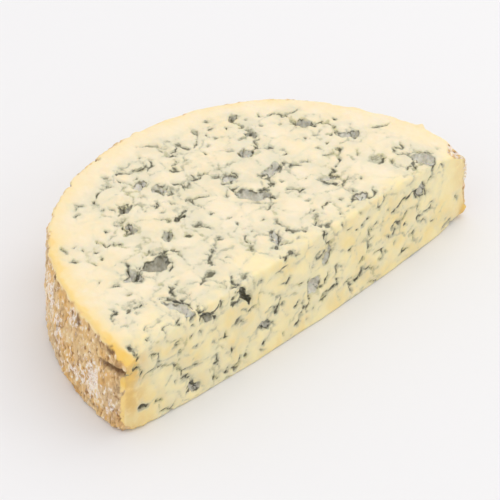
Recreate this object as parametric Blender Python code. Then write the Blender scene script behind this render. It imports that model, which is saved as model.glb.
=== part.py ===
"""Half slice of a small blue cheese wheel: flat above and below, halved by a knife, rind round the back.

Metres, +Z up. X runs along the halving cut, which faces -Y, and the rind curves round the +Y side.
The origin is the middle of the footprint, on the surface that the slice lies on.
The whole slice is one solid. Its rind crags, rim nicks and open mould pockets are relief in it.
"""

import math
from typing import NamedTuple

import bmesh
import bpy
from mathutils import Euler, Vector, noise

MM = 0.001

# Driving dimensions of the slice, in millimetres
WHEEL_RADIUS = 65.3
FOOT_RADIUS = 66.0
THICKNESS = 25.2
CUT_OFFSET = 3.3  # the knife passed this far in front of the wheel's axis
AXIS_Y = -29.8  # where the wheel's axis stands, so that the footprint is centred on the origin

# How the soft slice has settled, in millimetres
CUT_SAG = 3.8  # the cut face leans out this much at its foot, half way along
END_DROP_LEFT, END_DROP_RIGHT = 3.9, 4.4  # the knife dragged the rind's top corners down
END_LIFT_LEFT, END_LIFT_RIGHT = 1.0, 2.0  # and rounded its bottom corners
END_REACH = 7.0  # how far from a corner the drag is felt
EDGE_ROUND = 0.9  # radius of the long edges
LEFT_FLARE = 1.2  # the left corner's rind stands out this much at the top

# How the top rim departs from a circle: order, and cosine and sine share of the radius
LOBES = ((1, 0.008, 0.0), (2, 0.007, 0.0), (3, 0.001, -0.028), (4, -0.022, 0.0))

# Unevenness, in millimetres: height, and the size of its lumps
RIND_CRAGS = (0.65, 6.0)
FACE_WAVES = (0.35, 16.0)

# Mesh fineness: quads from the cut to the back, and rows up the plain part of the side
CELLS = 26
SIDE_ROWS = 8
ROUND_STEPS = 2
SHARP_DEGREES = 50.0

PASTE_COLOUR = (0.89, 0.80, 0.55, 1.0)
RIND_COLOUR = (0.62, 0.44, 0.25, 1.0)


class Opening(NamedTuple):
    """A mould pocket that the knife opened, in millimetres and degrees.

    across and along place its middle on the face: across is X from the wheel's axis, and along is the
    distance behind the axis on the top face, or the height on the cut face.
    """

    across: float
    along: float
    length: float
    width: float
    depth: float
    turn: float


TOP_OPENINGS = (
    Opening(-33.2, 18.6, 8.0, 5.2, 3.6, -20),
    Opening(-40.2, 19.0, 5.6, 4.6, 2.2, 40),
    Opening(-41.0, 1.0, 12.5, 3.6, 3.0, 94),
    Opening(6.2, 21.6, 10.0, 4.8, 3.4, -58),
    Opening(18.4, 26.0, 8.2, 3.8, 2.4, 8),
    Opening(18.8, 35.8, 5.4, 3.6, 2.4, -30),
    Opening(52.0, 0.6, 7.6, 6.0, 3.0, 70),
    Opening(7.2, 31.8, 5.4, 4.2, 2.0, 20),
    Opening(-22.5, 25.0, 4.6, 3.0, 2.0, 35),
    Opening(-14.4, 28.4, 4.4, 2.8, 2.4, 25),
    Opening(-27.6, 34.6, 5.8, 2.8, 2.4, 68),
    Opening(-22.2, 41.0, 4.2, 3.6, 2.4, 30),
    Opening(-9.2, 41.6, 5.0, 2.8, 2.0, -55),
    Opening(-11.8, 46.8, 3.4, 3.0, 1.8, 0),
    Opening(45.6, 22.6, 6.0, 4.2, 2.0, -35),
    Opening(27.0, 12.0, 6.2, 3.6, 2.2, -60),
    Opening(40.2, 35.6, 6.2, 2.8, 2.0, -62),
    Opening(26.0, 42.0, 4.2, 2.8, 1.8, 20),
    Opening(28.8, 50.6, 4.4, 3.0, 2.0, 30),
    Opening(-3.0, 4.4, 6.4, 3.4, 1.8, 62),
    Opening(26.4, 0.8, 4.2, 3.0, 1.8, -20),
)

CUT_OPENINGS = (
    Opening(2.0, 11.4, 5.2, 4.6, 2.6, -30),
    Opening(-22.6, 21.6, 8.0, 3.0, 3.2, -62),
    Opening(46.2, 19.2, 4.4, 3.8, 2.4, 20),
    Opening(-36.6, 22.0, 4.6, 2.6, 2.2, -15),
    Opening(-43.2, 4.2, 4.4, 2.8, 1.8, 0),
    Opening(7.6, 18.8, 4.6, 2.8, 2.0, 60),
    Opening(-16.4, 9.0, 5.0, 2.2, 1.6, -8),
    Opening(-60.0, 6.6, 3.2, 1.8, 1.4, 10),
)

# Nicks that the knife left in the rind's top rim: degrees round from +X, width and depth in millimetres
RIM_NICKS = ((112.5, 3.0, 1.8), (100.0, 2.2, 1.3), (33.5, 3.4, 1.4), (148.0, 2.6, 1.3))
NICK_HEIGHT = 4.0

# The fold in the rind where the left corner was dragged down, in millimetres and degrees
FOLD_LENGTH, FOLD_HEIGHT, FOLD_WIDTH, FOLD_DEPTH = 15.0, 18.6, 1.6, 1.3
FOLD_SLOPE = 8.0

# How far the hollows depart from plain balls: the share of the radius, and how often it changes
LUMP_SHARE, LUMP_RATE = 0.22, 2.4


def wall_radius(angle, low):
    """Radius of the wall at an angle round the axis: a lobed rim where low is 0, a round foot where it is 1."""
    share = sum(c * math.cos(k * angle) + s * math.sin(k * angle) for k, c, s in LOBES)
    rim = WHEEL_RADIUS * (1 + share)
    return rim + (FOOT_RADIUS - rim) * math.sin(low * math.pi / 2)


def bow(across):
    """1 half way along the cut, falling to 0 at both corners."""
    return max(0.0, 1 - (across / WHEEL_RADIUS) ** 2) ** 0.7


def near_corner(x, y, left, right):
    """left beside the left corner and right beside the right one, fading over END_REACH."""
    total = 0.0
    for amount, side in ((left, -1), (right, 1)):
        distance = math.hypot(x - side * WHEEL_RADIUS, y + CUT_OFFSET)
        total += amount * math.exp(-((distance / END_REACH) ** 1.5))
    return total


def waves(x, y, z, height_and_size, seed=0.0):
    """Smooth lumps from -height to height, about as large as size."""
    height, size = height_and_size
    return height * noise.fractal(Vector((x / size + seed, y / size, z / size)), 0.6, 2.0, 3)


def wall_reach(angle, height, low):
    """Distance of the rind from the axis, with its crags and the flare of the left corner."""
    reach = wall_radius(angle, low)
    x, y = reach * math.cos(angle), reach * math.sin(angle)
    flare = near_corner(x, y, LEFT_FLARE, 0.0) * (1 - low)
    return reach + flare + waves(x, y, height, RIND_CRAGS, seed=7.0)


def cut_reach(across, height, low):
    """Distance of the cut face in front of the axis. It leans out towards its foot."""
    return CUT_OFFSET + CUT_SAG * low * bow(across) + waves(across, 0, height, FACE_WAVES, seed=3.0)


def plan_point(u, v, height=THICKNESS, inset=0.0):
    """A point of the slice's outline at a height, or inside it, as (x, y).

    u runs from -1 to 1 along the cut and v from 0 to 1 away from it. The rectangle is bent to a half
    disc by shortening each coordinate by a share of the other's square.
    """
    low = 1 - min(1.0, height / THICKNESS)
    x = u * math.sqrt(1 - v * v / 2)
    y = v * math.sqrt(1 - u * u / 2)
    reach = wall_reach(math.atan2(y, x), height, low) - inset
    cut = cut_reach(reach * u, height, low) - inset
    return reach * x, reach * y - cut * (1 - v)


def top_height(x, y):
    """How high the upper cut face is over a plan point."""
    return THICKNESS - near_corner(x, y, END_DROP_LEFT, END_DROP_RIGHT) + waves(x, y, 0, FACE_WAVES)


def side_rows():
    """(part, share) for each row down the side: round the top edge, the plain side, round the foot."""
    rows = [("top", step / ROUND_STEPS) for step in range(ROUND_STEPS + 1)]
    rows += [("plain", step / SIDE_ROWS) for step in range(1, SIDE_ROWS)]
    return rows + [("foot", step / ROUND_STEPS) for step in range(ROUND_STEPS + 1)]


def side_point(u, v, part, share):
    """A point of the side, for a place round the outline and a row."""
    x, y = plan_point(u, v)
    top = top_height(x, y)
    foot_round = EDGE_ROUND + near_corner(x, y, END_LIFT_LEFT, END_LIFT_RIGHT)
    turn = share * math.pi / 2
    if part == "top":
        height, inset = top - EDGE_ROUND * (1 - math.cos(turn)), EDGE_ROUND * (1 - math.sin(turn))
    elif part == "foot":
        height, inset = foot_round * (1 - math.sin(turn)), foot_round * (1 - math.cos(turn))
    else:
        height, inset = (top - EDGE_ROUND) * (1 - share) + foot_round * share, 0.0
    return *plan_point(u, v, height, inset), height


def outline_cells():
    """Grid places round the edge of the rectangle, anticlockwise from the cut's left corner."""
    n = CELLS
    cut = [(i, 0) for i in range(-n, n)]
    right = [(n, j) for j in range(n)]
    back = [(i, n) for i in range(n, -n, -1)]
    left = [(-n, j) for j in range(n, 0, -1)]
    return cut + right + back + left


def to_world(point):
    """Millimetres about the wheel's axis to metres about the middle of the footprint."""
    x, y, z = point
    return Vector((x, y + AXIS_Y, z)) * MM


def add_side(mesh):
    """The side, one ring of vertices for each row, as quads. Returns the rings."""
    rings = []
    for part, share in side_rows():
        points = [side_point(i / CELLS, j / CELLS, part, share) for i, j in outline_cells()]
        rings.append([mesh.verts.new(to_world(point)) for point in points])
    for upper, lower in zip(rings, rings[1:]):
        for i in range(len(upper)):
            j = (i + 1) % len(upper)
            mesh.faces.new((lower[i], lower[j], upper[j], upper[i]))
    return rings


def add_cap(mesh, rim):
    """The upper face as a bent grid that shares the top ring's vertices."""
    corner = dict(zip(outline_cells(), rim))
    for j in range(1, CELLS):
        for i in range(1 - CELLS, CELLS):
            x, y = plan_point(i / CELLS, j / CELLS, inset=EDGE_ROUND)
            corner[i, j] = mesh.verts.new(to_world((x, y, top_height(x, y))))
    for j in range(CELLS):
        for i in range(-CELLS, CELLS):
            mesh.faces.new((corner[i, j], corner[i + 1, j], corner[i + 1, j + 1], corner[i, j + 1]))


def material(name, colour, roughness):
    made = bpy.data.materials.new(name)
    made.use_nodes = True
    surface = made.node_tree.nodes["Principled BSDF"]
    surface.inputs["Base Color"].default_value = colour
    surface.inputs["Roughness"].default_value = roughness
    surface.inputs["Metallic"].default_value = 0.0
    return made


def make_slice():
    """The whole slice as one closed mesh: its side, its upper face and its flat underside."""
    mesh = bmesh.new()
    rings = add_side(mesh)
    add_cap(mesh, rings[0])
    mesh.faces.new(list(reversed(rings[-1])))
    data = bpy.data.meshes.new("cheese")
    mesh.to_mesh(data)
    mesh.free()
    data.materials.append(material("paste", PASTE_COLOUR, 0.5))
    data.materials.append(material("rind", RIND_COLOUR, 0.8))
    rind_start = 2 * CELLS
    around = len(outline_cells())
    for index in range(around * (len(rings) - 1)):
        data.polygons[index].material_index = 1 if index % around >= rind_start else 0
    cheese = bpy.data.objects.new("cheese", data)
    bpy.context.scene.collection.objects.link(cheese)
    return cheese


def top_hollows():
    """(name, size, turn, place) of each hollow. A ball centred on a face leaves half its height as depth."""
    for i, hole in enumerate(TOP_OPENINGS):
        place = (hole.across, hole.along, top_height(hole.across, hole.along))
        size = (hole.length, hole.width, 2 * hole.depth)
        yield f"top_opening_{i}", size, (0, 0, hole.turn), place


def cut_hollows():
    """The same on the cut face, which leans out towards its foot."""
    for i, hole in enumerate(CUT_OPENINGS):
        place = (hole.across, -cut_reach(hole.across, hole.along, 1 - hole.along / THICKNESS), hole.along)
        size = (hole.length, 2 * hole.depth, hole.width)
        yield f"cut_opening_{i}", size, (0, -hole.turn, 0), place


def rind_hollows():
    """The nicks in the top rim, and the fold that runs round the wall from the left corner."""
    for i, (degrees, width, depth) in enumerate(RIM_NICKS):
        angle = math.radians(degrees)
        reach = wall_reach(angle, THICKNESS, 0)
        x, y = reach * math.cos(angle), reach * math.sin(angle)
        size = (2 * depth, width, NICK_HEIGHT)
        yield f"rim_nick_{i}", size, (0, 0, degrees), (x, y, top_height(x, y))
    angle = math.pi + math.asin(CUT_OFFSET / WHEEL_RADIUS) - FOLD_LENGTH / 2 / WHEEL_RADIUS
    reach = wall_radius(angle, 1 - FOLD_HEIGHT / THICKNESS)
    place = (reach * math.cos(angle), reach * math.sin(angle), FOLD_HEIGHT)
    size = (2 * FOLD_DEPTH, FOLD_LENGTH, FOLD_WIDTH)
    yield "rind_fold", size, (FOLD_SLOPE, 0, math.degrees(angle)), place


def cutter_ball(name, size, turn, place, seed):
    """An uneven ball, stretched to size, turned by degrees about X, Y and Z and put in place."""
    ball = bmesh.new()
    bmesh.ops.create_icosphere(ball, subdivisions=2, radius=0.5)
    for vertex in ball.verts:
        swell = 1 + LUMP_SHARE * noise.noise(vertex.co * LUMP_RATE + Vector((seed, 0, 0)))
        vertex.co = Vector(c * s for c, s in zip(vertex.co * swell, size)) * MM
    data = bpy.data.meshes.new(name)
    ball.to_mesh(data)
    ball.free()
    cutter = bpy.data.objects.new(name, data)
    cutter.location = to_world(place)
    cutter.rotation_euler = Euler([math.radians(degrees) for degrees in turn])
    cutter.hide_render = True
    cutter.display_type = "WIRE"
    return cutter


def cut_hollows_from(cheese):
    """Takes every opening, nick and fold out of the slice with one Boolean."""
    group = bpy.data.collections.new("cutters")
    bpy.context.scene.collection.children.link(group)
    for seed, shape in enumerate([*top_hollows(), *cut_hollows(), *rind_hollows()]):
        group.objects.link(cutter_ball(*shape, seed))
    cut = cheese.modifiers.new("hollows", "BOOLEAN")
    cut.operation = "DIFFERENCE"
    cut.operand_type = "COLLECTION"
    cut.collection = group
    cut.solver = "EXACT"


def main():
    for old in list(bpy.data.objects):
        bpy.data.objects.remove(old)
    cheese = make_slice()
    cut_hollows_from(cheese)
    cheese.data.shade_smooth()
    cheese.data.set_sharp_from_angle(angle=math.radians(SHARP_DEGREES))


main()
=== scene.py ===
# %% [markdown]
# # Half a slice of blue cheese
#
# A small wheel of blue cheese was cut across for a slice 25 mm thick, and the slice was halved.
# It lies flat. It shows a cream top, a knife-cut face in front and a dry tan rind round the back.
# The solid from the CAD step already has its outline, its settled corners and its openings. This
# script dresses that solid: one closed skin with finer relief, mould veins, a golden rim and a
# crumbly rind.

# %% Load the fixed frame
import functools
import math
from collections import namedtuple

import bpy
import numpy as np
from mathutils import Euler, Matrix, Vector


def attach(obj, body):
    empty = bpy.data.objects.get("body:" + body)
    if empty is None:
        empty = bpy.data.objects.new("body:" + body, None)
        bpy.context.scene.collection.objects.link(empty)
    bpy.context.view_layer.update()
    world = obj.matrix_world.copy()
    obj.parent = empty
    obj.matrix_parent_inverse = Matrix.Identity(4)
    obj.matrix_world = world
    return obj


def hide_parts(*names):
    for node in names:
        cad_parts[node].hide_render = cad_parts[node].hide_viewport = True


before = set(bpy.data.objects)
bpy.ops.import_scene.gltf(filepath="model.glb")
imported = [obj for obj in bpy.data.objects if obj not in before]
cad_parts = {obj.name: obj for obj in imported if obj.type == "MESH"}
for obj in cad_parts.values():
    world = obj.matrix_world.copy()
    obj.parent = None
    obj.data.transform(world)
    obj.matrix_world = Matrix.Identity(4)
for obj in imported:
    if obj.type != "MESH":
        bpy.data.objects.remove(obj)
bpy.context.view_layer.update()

MM = 0.001

# %% [markdown]
# ## Camera
#
# The photograph was taken from a little way off with a long lens, so the slice shows hardly any
# perspective. Its corners and its round rim were matched to the picture, which gave the direction,
# the distance and the angle of view used here. A Blender camera looks down its own -Z axis, so its
# matrix is built from the three directions right, up and back.

# %% Place the camera
AXIS_Y = -29.8  # where the wheel's axis stands in the frame
AZIMUTH, ELEVATION, ROLL = -46.33, 37.54, 0.65  # degrees
DISTANCE = 699.2
VIEW_ANGLE = 11.0  # across the whole picture
SENSOR = 36.0
LOOK_AT = (0.69, 17.16 + AXIS_Y, 12.0)


def camera_matrix(azimuth, elevation, roll, target, distance):
    """The target plus distance along back, its axes right, up and back turned by roll about back."""
    a, e, r = (math.radians(angle) for angle in (azimuth, elevation, roll))
    back = Vector((math.sin(a) * math.cos(e), -math.cos(a) * math.cos(e), math.sin(e)))
    right = Vector((math.cos(a), math.sin(a), 0))
    up = back.cross(right)
    right, up = right * math.cos(r) + up * math.sin(r), up * math.cos(r) - right * math.sin(r)
    turn = Matrix((right, up, back)).transposed().to_4x4()
    return Matrix.Translation((Vector(target) + back * distance) * MM) @ turn


camera = bpy.data.objects.new("camera", bpy.data.cameras.new("camera"))
camera.data.lens = SENSOR / 2 / math.tan(math.radians(VIEW_ANGLE / 2))
camera.data.sensor_width = SENSOR
camera.matrix_world = camera_matrix(AZIMUTH, ELEVATION, ROLL, LOOK_AT, DISTANCE)
bpy.context.scene.collection.objects.link(camera)
bpy.context.scene.camera = camera
print("lens in mm:", round(camera.data.lens, 1))

# %% [markdown]
# ## Floor and light
#
# The slice lies on a plain white board under soft daylight. A large window stands to the right, so
# the floor on the left is a little darker and the front face darkens from right to left. A weak lamp
# on the left, a small one in front and a pale world fill the shadows. The standard view keeps the
# creams as they are, where a filmic view would grey them.

# %% Colours as a painter reads them


def paint(red, green, blue):
    """A colour read from 0 to 255 as a screen shows it, as the linear light that Blender mixes."""
    share = np.array((red, green, blue)) / 255
    linear = np.where(share <= 0.04045, share / 12.92, ((share + 0.055) / 1.055) ** 2.4)
    return (*linear.tolist(), 1.0)


print("white paint is", paint(255, 255, 255))

# %% Floor
FLOOR_SIDE = 6.0  # metres
FLOOR_COLOUR = paint(236, 235, 235)


def plain_material(name, colour, roughness):
    """A material of one colour and one roughness."""
    made = bpy.data.materials.new(name)
    made.use_nodes = True
    shader = made.node_tree.nodes["Principled BSDF"]
    shader.inputs["Base Color"].default_value = colour
    shader.inputs["Roughness"].default_value = roughness
    return made


def make_floor(side):
    """A flat square on the plane that the slice rests on."""
    h = side / 2
    data = bpy.data.meshes.new("floor")
    data.from_pydata([(-h, -h, 0), (h, -h, 0), (h, h, 0), (-h, h, 0)], [], [(0, 1, 2, 3)])
    floor = bpy.data.objects.new("floor", data)
    bpy.context.scene.collection.objects.link(floor)
    return floor


floor = make_floor(FLOOR_SIDE)
floor.data.materials.append(plain_material("white_board", FLOOR_COLOUR, 0.7))
print("floor side in m:", FLOOR_SIDE)

# %% Lights
WORLD_COLOUR, WORLD_STRENGTH = (0.985, 0.985, 1.0, 1.0), 0.93
LAMP_COLOUR = (1.0, 0.98, 0.95)
LAMPS = (  # name, place and side in metres, power in watts
    ("window", (0.66, 0.02, 0.92), 1.0, 2.5),
    ("fill", (-0.60, 0.05, 0.45), 0.5, 0.32),
    ("lamp", (0.35, -0.50, 0.35), 0.3, 0.25),
)


def hang(name, place, side, power):
    """A square soft light that points at the slice."""
    light = bpy.data.lights.new(name, "AREA")
    light.size = side
    light.energy = power
    light.color = LAMP_COLOUR
    hung = bpy.data.objects.new(name, light)
    hung.location = place
    hung.rotation_euler = (-Vector(place)).to_track_quat("-Z", "Y").to_euler()
    bpy.context.scene.collection.objects.link(hung)


world = bpy.data.worlds.new("daylight")
world.use_nodes = True
world.node_tree.nodes["Background"].inputs["Color"].default_value = WORLD_COLOUR
world.node_tree.nodes["Background"].inputs["Strength"].default_value = WORLD_STRENGTH
bpy.context.scene.world = world
bpy.context.scene.view_settings.view_transform = "Standard"
for lamp in LAMPS:
    hang(*lamp)
print("lamps:", [lamp[0] for lamp in LAMPS])

# %% [markdown]
# ## Noise
#
# Curds, mould and rind are uneven at every size from a fist to a grain of salt. One kind of noise
# makes all of it: random slopes sit on the corners of a cubic lattice, and each point blends the
# eight slopes round it. It is worked out for all points at once. Adding finer and weaker copies
# gives a fractal. A call names the size of the lumps in millimetres, and a seed that only picks
# another noise of the same kind.

# %% Lattice noise
LATTICE = 64
NOISE_GAIN, FRACTAL_SPREAD = 1.6, 1.3  # they bring both kinds to about -1 to 1


@functools.cache
def random_slopes(seed):
    """A direction for each corner of the lattice, each as likely as any other."""
    slopes = np.random.default_rng(seed).normal(size=(LATTICE, LATTICE, LATTICE, 3))
    return slopes / np.linalg.norm(slopes, axis=-1, keepdims=True)


def lattice_noise(points, size, seed):
    """The eight corner slopes times the way to each corner, blended by 6t^5-15t^4+10t^3."""
    slopes = random_slopes(seed)
    place = points / size
    cell = np.floor(place).astype(int)
    inside = place - cell
    eased = inside**3 * (inside * (inside * 6 - 15) + 10)
    total = np.zeros(len(points))
    for corner in np.ndindex(2, 2, 2):
        column = tuple(((cell + corner) % LATTICE).T)
        plane = ((inside - corner) * slopes[column]).sum(axis=1)
        total += plane * np.where(np.array(corner) == 1, eased, 1 - eased).prod(axis=1)
    return NOISE_GAIN * total


def fractal(points, size, seed, octaves=3):
    """Lattice noise plus copies at half the size and half the height."""
    copies = [lattice_noise(points, size / 2**k, seed + k) / 2**k for k in range(octaves)]
    return sum(copies) / FRACTAL_SPREAD


def ramp(value, low, high):
    """0 below low and 1 above high, with the smooth step 3t^2-2t^3 between. low may be above high."""
    t = np.clip((value - low) / (high - low), 0, 1)
    return t * t * (3 - 2 * t)


def fade(distance, reach, power=2):
    """1 at no distance, falling as exp(-(distance/reach)^power)."""
    return np.exp(-((distance / reach) ** power))


test_points = np.random.default_rng(1).uniform(0, 50, (4000, 3))
print("noise spread:", round(float(lattice_noise(test_points, 3.0, 5).std()), 2))

# %% [markdown]
# ## The outline
#
# Seen from above the slice is a half disc. Its rim wanders from a true circle by a few lobes, while
# its foot, pressed to the board of the mould, is rounder. The knife dragged the two end corners down,
# and the soft paste leans out at the foot of the cut. These are the CAD solid's own measures and
# formulas in millimetres about the wheel's axis, so the new skin lies on the solid.

# %% Measures of the slice
THICKNESS = 25.2
WHEEL_RADIUS = 65.3
FOOT_RADIUS = 66.0
CUT_OFFSET = 3.3  # the knife passed this far in front of the axis
CUT_SAG = 3.8  # how far the foot of the cut leans out
END_DROP = (3.9, 4.4)  # how far the left and the right end corner are dragged down
END_LIFT = (1.0, 2.0)  # how much rounder their feet are
END_REACH = 7.0  # how far from a corner this fades
EDGE_ROUND = 0.9  # radius of the worn edges
LEFT_FLARE = 1.2  # how far the top of the left corner stands out
# order of each lobe, and its cosine and sine as shares of the radius
LOBES = ((1, 0.008, 0.0), (2, 0.007, 0.0), (3, 0.001, -0.028), (4, -0.022, 0.0))
CRAG_HEIGHT, CRAG_SIZE = 0.55, 6.0  # on the rind
WAVE_HEIGHT, WAVE_SIZE = 0.3, 16.0  # on the cut faces
print("half disc in mm:", 2 * WHEEL_RADIUS, "by", WHEEL_RADIUS + CUT_OFFSET)

# %% Wall, cut face and top


def wall_radius(angle, low):
    """A lobed rim where low is 0, eased by a quarter sine to a round foot where low is 1."""
    share = sum(c * np.cos(k * angle) + s * np.sin(k * angle) for k, c, s in LOBES)
    rim = WHEEL_RADIUS * (1 + share)
    return rim + (FOOT_RADIUS - rim) * np.sin(low * np.pi / 2)


def corner_gap(x, y, side):
    """Distance from the left corner where side is -1, or from the right one where it is 1."""
    return np.hypot(x - side * WHEEL_RADIUS, y + CUT_OFFSET)


def near_corner(x, y, left, right):
    """left beside the left corner plus right beside the right one, each fading away from it."""
    total = 0.0
    for amount, side in ((left, -1), (right, 1)):
        total = total + amount * fade(corner_gap(x, y, side), END_REACH, 1.5)
    return total


def waves(x, y, z, size, seed):
    """Fractal noise at places given by three arrays or numbers."""
    x, y, z = np.broadcast_arrays(x, y, z)
    return fractal(np.stack([x, y, z], axis=-1).reshape(-1, 3), size, seed).reshape(x.shape)


def wall_reach(angle, height, low):
    """The wall's distance from the axis: its radius, the left corner's flare and the rind's crags."""
    reach = wall_radius(angle, low)
    x, y = reach * np.cos(angle), reach * np.sin(angle)
    crags = CRAG_HEIGHT * waves(x, y, height, CRAG_SIZE, 7)
    return reach + near_corner(x, y, LEFT_FLARE, 0) * (1 - low) + crags


def cut_reach(across, height, low):
    """The cut face's distance in front of the axis. Its foot leans out by (1-(across/radius)^2)^0.7."""
    bow = np.clip(1 - (across / WHEEL_RADIUS) ** 2, 0, 1) ** 0.7
    return CUT_OFFSET + CUT_SAG * low * bow + WAVE_HEIGHT * waves(across, 0.0, height, WAVE_SIZE, 3)


def plan_point(u, v, height, inset):
    """The rectangle u -1..1, v 0..1 bent to a half disc: each side is shortened by the other's square.

    Then it is stretched to the wall's reach, and its front is moved to the cut.
    """
    low = 1 - np.minimum(1, height / THICKNESS)
    x = u * np.sqrt(1 - v * v / 2)
    y = v * np.sqrt(1 - u * u / 2)
    reach = wall_reach(np.arctan2(y, x), height, low) - inset
    cut = cut_reach(reach * u, height, low) - inset
    return reach * x, reach * y - cut * (1 - v)


def top_height(x, y):
    """The thickness, less the drag at the end corners, plus low waves."""
    return THICKNESS - near_corner(x, y, *END_DROP) + WAVE_HEIGHT * waves(x, y, 0.0, WAVE_SIZE, 11)


corner_x, corner_y = plan_point(np.array([-1.0, 1.0]), np.array([0.0, 0.0]), THICKNESS, 0)
print("end corners in mm:", np.round(corner_x, 1), np.round(corner_y, 1))

# %% [markdown]
# ## The skin
#
# A sculptor would subdivide the solid and carve it. Here the skin is three sheets that share their
# edges: a fine grid on top, a band of rings down the side and a coarser grid underneath. Half a
# millimetre between points holds a mould vein. The last ring has twice as many points as the
# underside's edge, so the two are joined by groups of three triangles.

# %% Fineness of the three sheets
TOP_CELLS = 140  # quads from the cut to the back, and twice that along the cut
UNDER_CELLS = TOP_CELLS // 2
ROUND_STEPS, PLAIN_STEPS, FOOT_STEPS = 3, 46, 4
UNDER_GAP = 0.8  # from the foot's last ring to the underside's own edge


def walk(cells):
    """Grid places round the edge, anticlockwise from the cut's left corner, as two arrays."""
    n = cells
    i = np.concatenate([np.arange(-n, n), np.full(n, n), np.arange(n, -n, -1), np.full(n, -n)])
    j = np.concatenate([np.zeros(2 * n, int), np.arange(n), np.full(2 * n, n), np.arange(n, 0, -1)])
    return i, j


def grid(cells):
    """u and v at each place of a grid, row by row away from the cut."""
    u, v = np.meshgrid(np.arange(-cells, cells + 1) / cells, np.arange(cells + 1) / cells)
    return u.ravel(), v.ravel()


def foot_round(x, y):
    """Radius of the rounding at the foot: that of the worn edges, plus the lift at the end corners."""
    return EDGE_ROUND + near_corner(x, y, *END_LIFT)


print("points round the edge:", len(walk(TOP_CELLS)[0]))

# %% Points of the sheets


def top_points():
    """The fine grid's places in the slice, each at the height of the top there."""
    x, y = plan_point(*grid(TOP_CELLS), THICKNESS, EDGE_ROUND)
    return np.stack([x, y, top_height(x, y)], axis=-1)


def ring_of(top, foot, kind, share):
    """Height and inset of a ring: on the top's quarter circle, the straight line or the foot's."""
    turn = share * np.pi / 2
    if kind == "top":
        return top - EDGE_ROUND * (1 - np.cos(turn)), EDGE_ROUND * (1 - np.sin(turn))
    if kind == "foot":
        return foot * (1 - np.sin(turn)), foot * (1 - np.cos(turn))
    return (top - EDGE_ROUND) * (1 - share) + foot * share, np.zeros_like(top)


def side_points():
    """Every ring below the top sheet's edge, as an array of rings."""
    i, j = walk(TOP_CELLS)
    u, v = i / TOP_CELLS, j / TOP_CELLS
    x, y = plan_point(u, v, THICKNESS, 0)
    top, foot = top_height(x, y), foot_round(x, y)
    steps = [("top", k / ROUND_STEPS) for k in range(1, ROUND_STEPS + 1)]
    steps += [("plain", k / PLAIN_STEPS) for k in range(1, PLAIN_STEPS)]
    steps += [("foot", k / FOOT_STEPS) for k in range(FOOT_STEPS + 1)]
    rings = []
    for kind, share in steps:
        height, inset = ring_of(top, foot, kind, share)
        rings.append(np.stack([*plan_point(u, v, height, inset), height], axis=-1))
    return np.array(rings)


def under_points():
    """The coarse grid on the floor, drawn in from the edge by the foot's rounding and a small gap."""
    u, v = grid(UNDER_CELLS)
    x, y = plan_point(u, v, THICKNESS, 0)
    x, y = plan_point(u, v, np.zeros_like(u), foot_round(x, y) + UNDER_GAP)
    return np.stack([x, y, np.zeros_like(x)], axis=-1)


top_sheet, side_sheet, under_sheet = top_points(), side_points(), under_points()
points = np.concatenate([top_sheet, side_sheet.reshape(-1, 3), under_sheet])
skin_x, skin_y, skin_z = points.T
print("points of top, side and underside:", len(top_sheet), side_sheet.shape, len(under_sheet))

# %% Faces of the sheets
RINGS, AROUND = side_sheet.shape[:2]


def index_in(cells, i, j):
    """The number of a grid place, counted row by row."""
    return j * (2 * cells + 1) + i + cells


def grid_faces(cells, start):
    """Quads of a grid, anticlockwise seen from above."""
    i, j = (a.ravel() for a in np.meshgrid(np.arange(-cells, cells), np.arange(cells)))
    corners = [index_in(cells, i + a, j + b) for a, b in ((0, 0), (1, 0), (1, 1), (0, 1))]
    return np.stack(corners, axis=-1) + start


def side_faces(rings):
    """Quads between each ring and the next one down, facing out."""
    upper, lower = rings[:-1], rings[1:]
    after = (np.arange(rings.shape[1]) + 1) % rings.shape[1]
    return np.stack([lower, lower[:, after], upper[:, after], upper], axis=-1).reshape(-1, 4)


def joining_faces(fine, coarse):
    """Three triangles for each coarse step and its two fine ones, facing down."""
    a, b, c = fine[0::2], fine[1::2], np.roll(fine[0::2], -1)
    near, far = coarse, np.roll(coarse, -1)
    groups = [(b, a, near), (b, near, far), (c, b, far)]
    return np.concatenate([np.stack(group, axis=-1) for group in groups])


under_start = len(top_sheet) + RINGS * AROUND
rings = np.concatenate(
    [
        index_in(TOP_CELLS, *walk(TOP_CELLS))[None, :],
        len(top_sheet) + np.arange(RINGS * AROUND).reshape(RINGS, AROUND),
    ]
)
top_quads = grid_faces(TOP_CELLS, 0)
side_quads = side_faces(rings)
under_quads = grid_faces(UNDER_CELLS, under_start)[:, ::-1]
under_joins = joining_faces(rings[-1], under_start + index_in(UNDER_CELLS, *walk(UNDER_CELLS)))
faces = [*top_quads.tolist(), *side_quads.tolist(), *under_quads.tolist(), *under_joins.tolist()]
quads = len(top_quads) + len(side_quads) + len(under_quads)
print("triangles:", 2 * quads + len(under_joins))

# %% Put the plain skin into a mesh


def read(items, name, width):
    """A property of every item of a Blender list as an array."""
    found = np.empty(len(items) * width, np.float32)
    items.foreach_get(name, found)
    return found.reshape(-1, width).astype(float)


def to_frame(place):
    """Millimetres about the wheel's axis to metres in the frame."""
    return (place + (0, AXIS_Y, 0)) * MM


skin = bpy.data.meshes.new("blue_cheese")
skin.from_pydata(to_frame(points).tolist(), [], faces)
skin.update()
outward = read(skin.vertex_normals, "vector", 3)
print("plain skin sides in mm:", np.round(np.ptp(points, axis=0), 1))

# %% [markdown]
# ## Veins and openings
#
# Blue mould grows in the gaps between the curd grains. Where the knife crossed a wide gap an opening
# shows, with a furry grey floor. A narrow gap shows as a short dark stroke. Both are described
# alike, as a ball stretched to a length, a width and a depth and turned in the face it lies on. The
# distance to the nearest such ball, bent by noise, then tells the finish where the mould is. Each row
# below is one opening or stroke of the real slice, measured about the wheel's axis.

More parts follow.
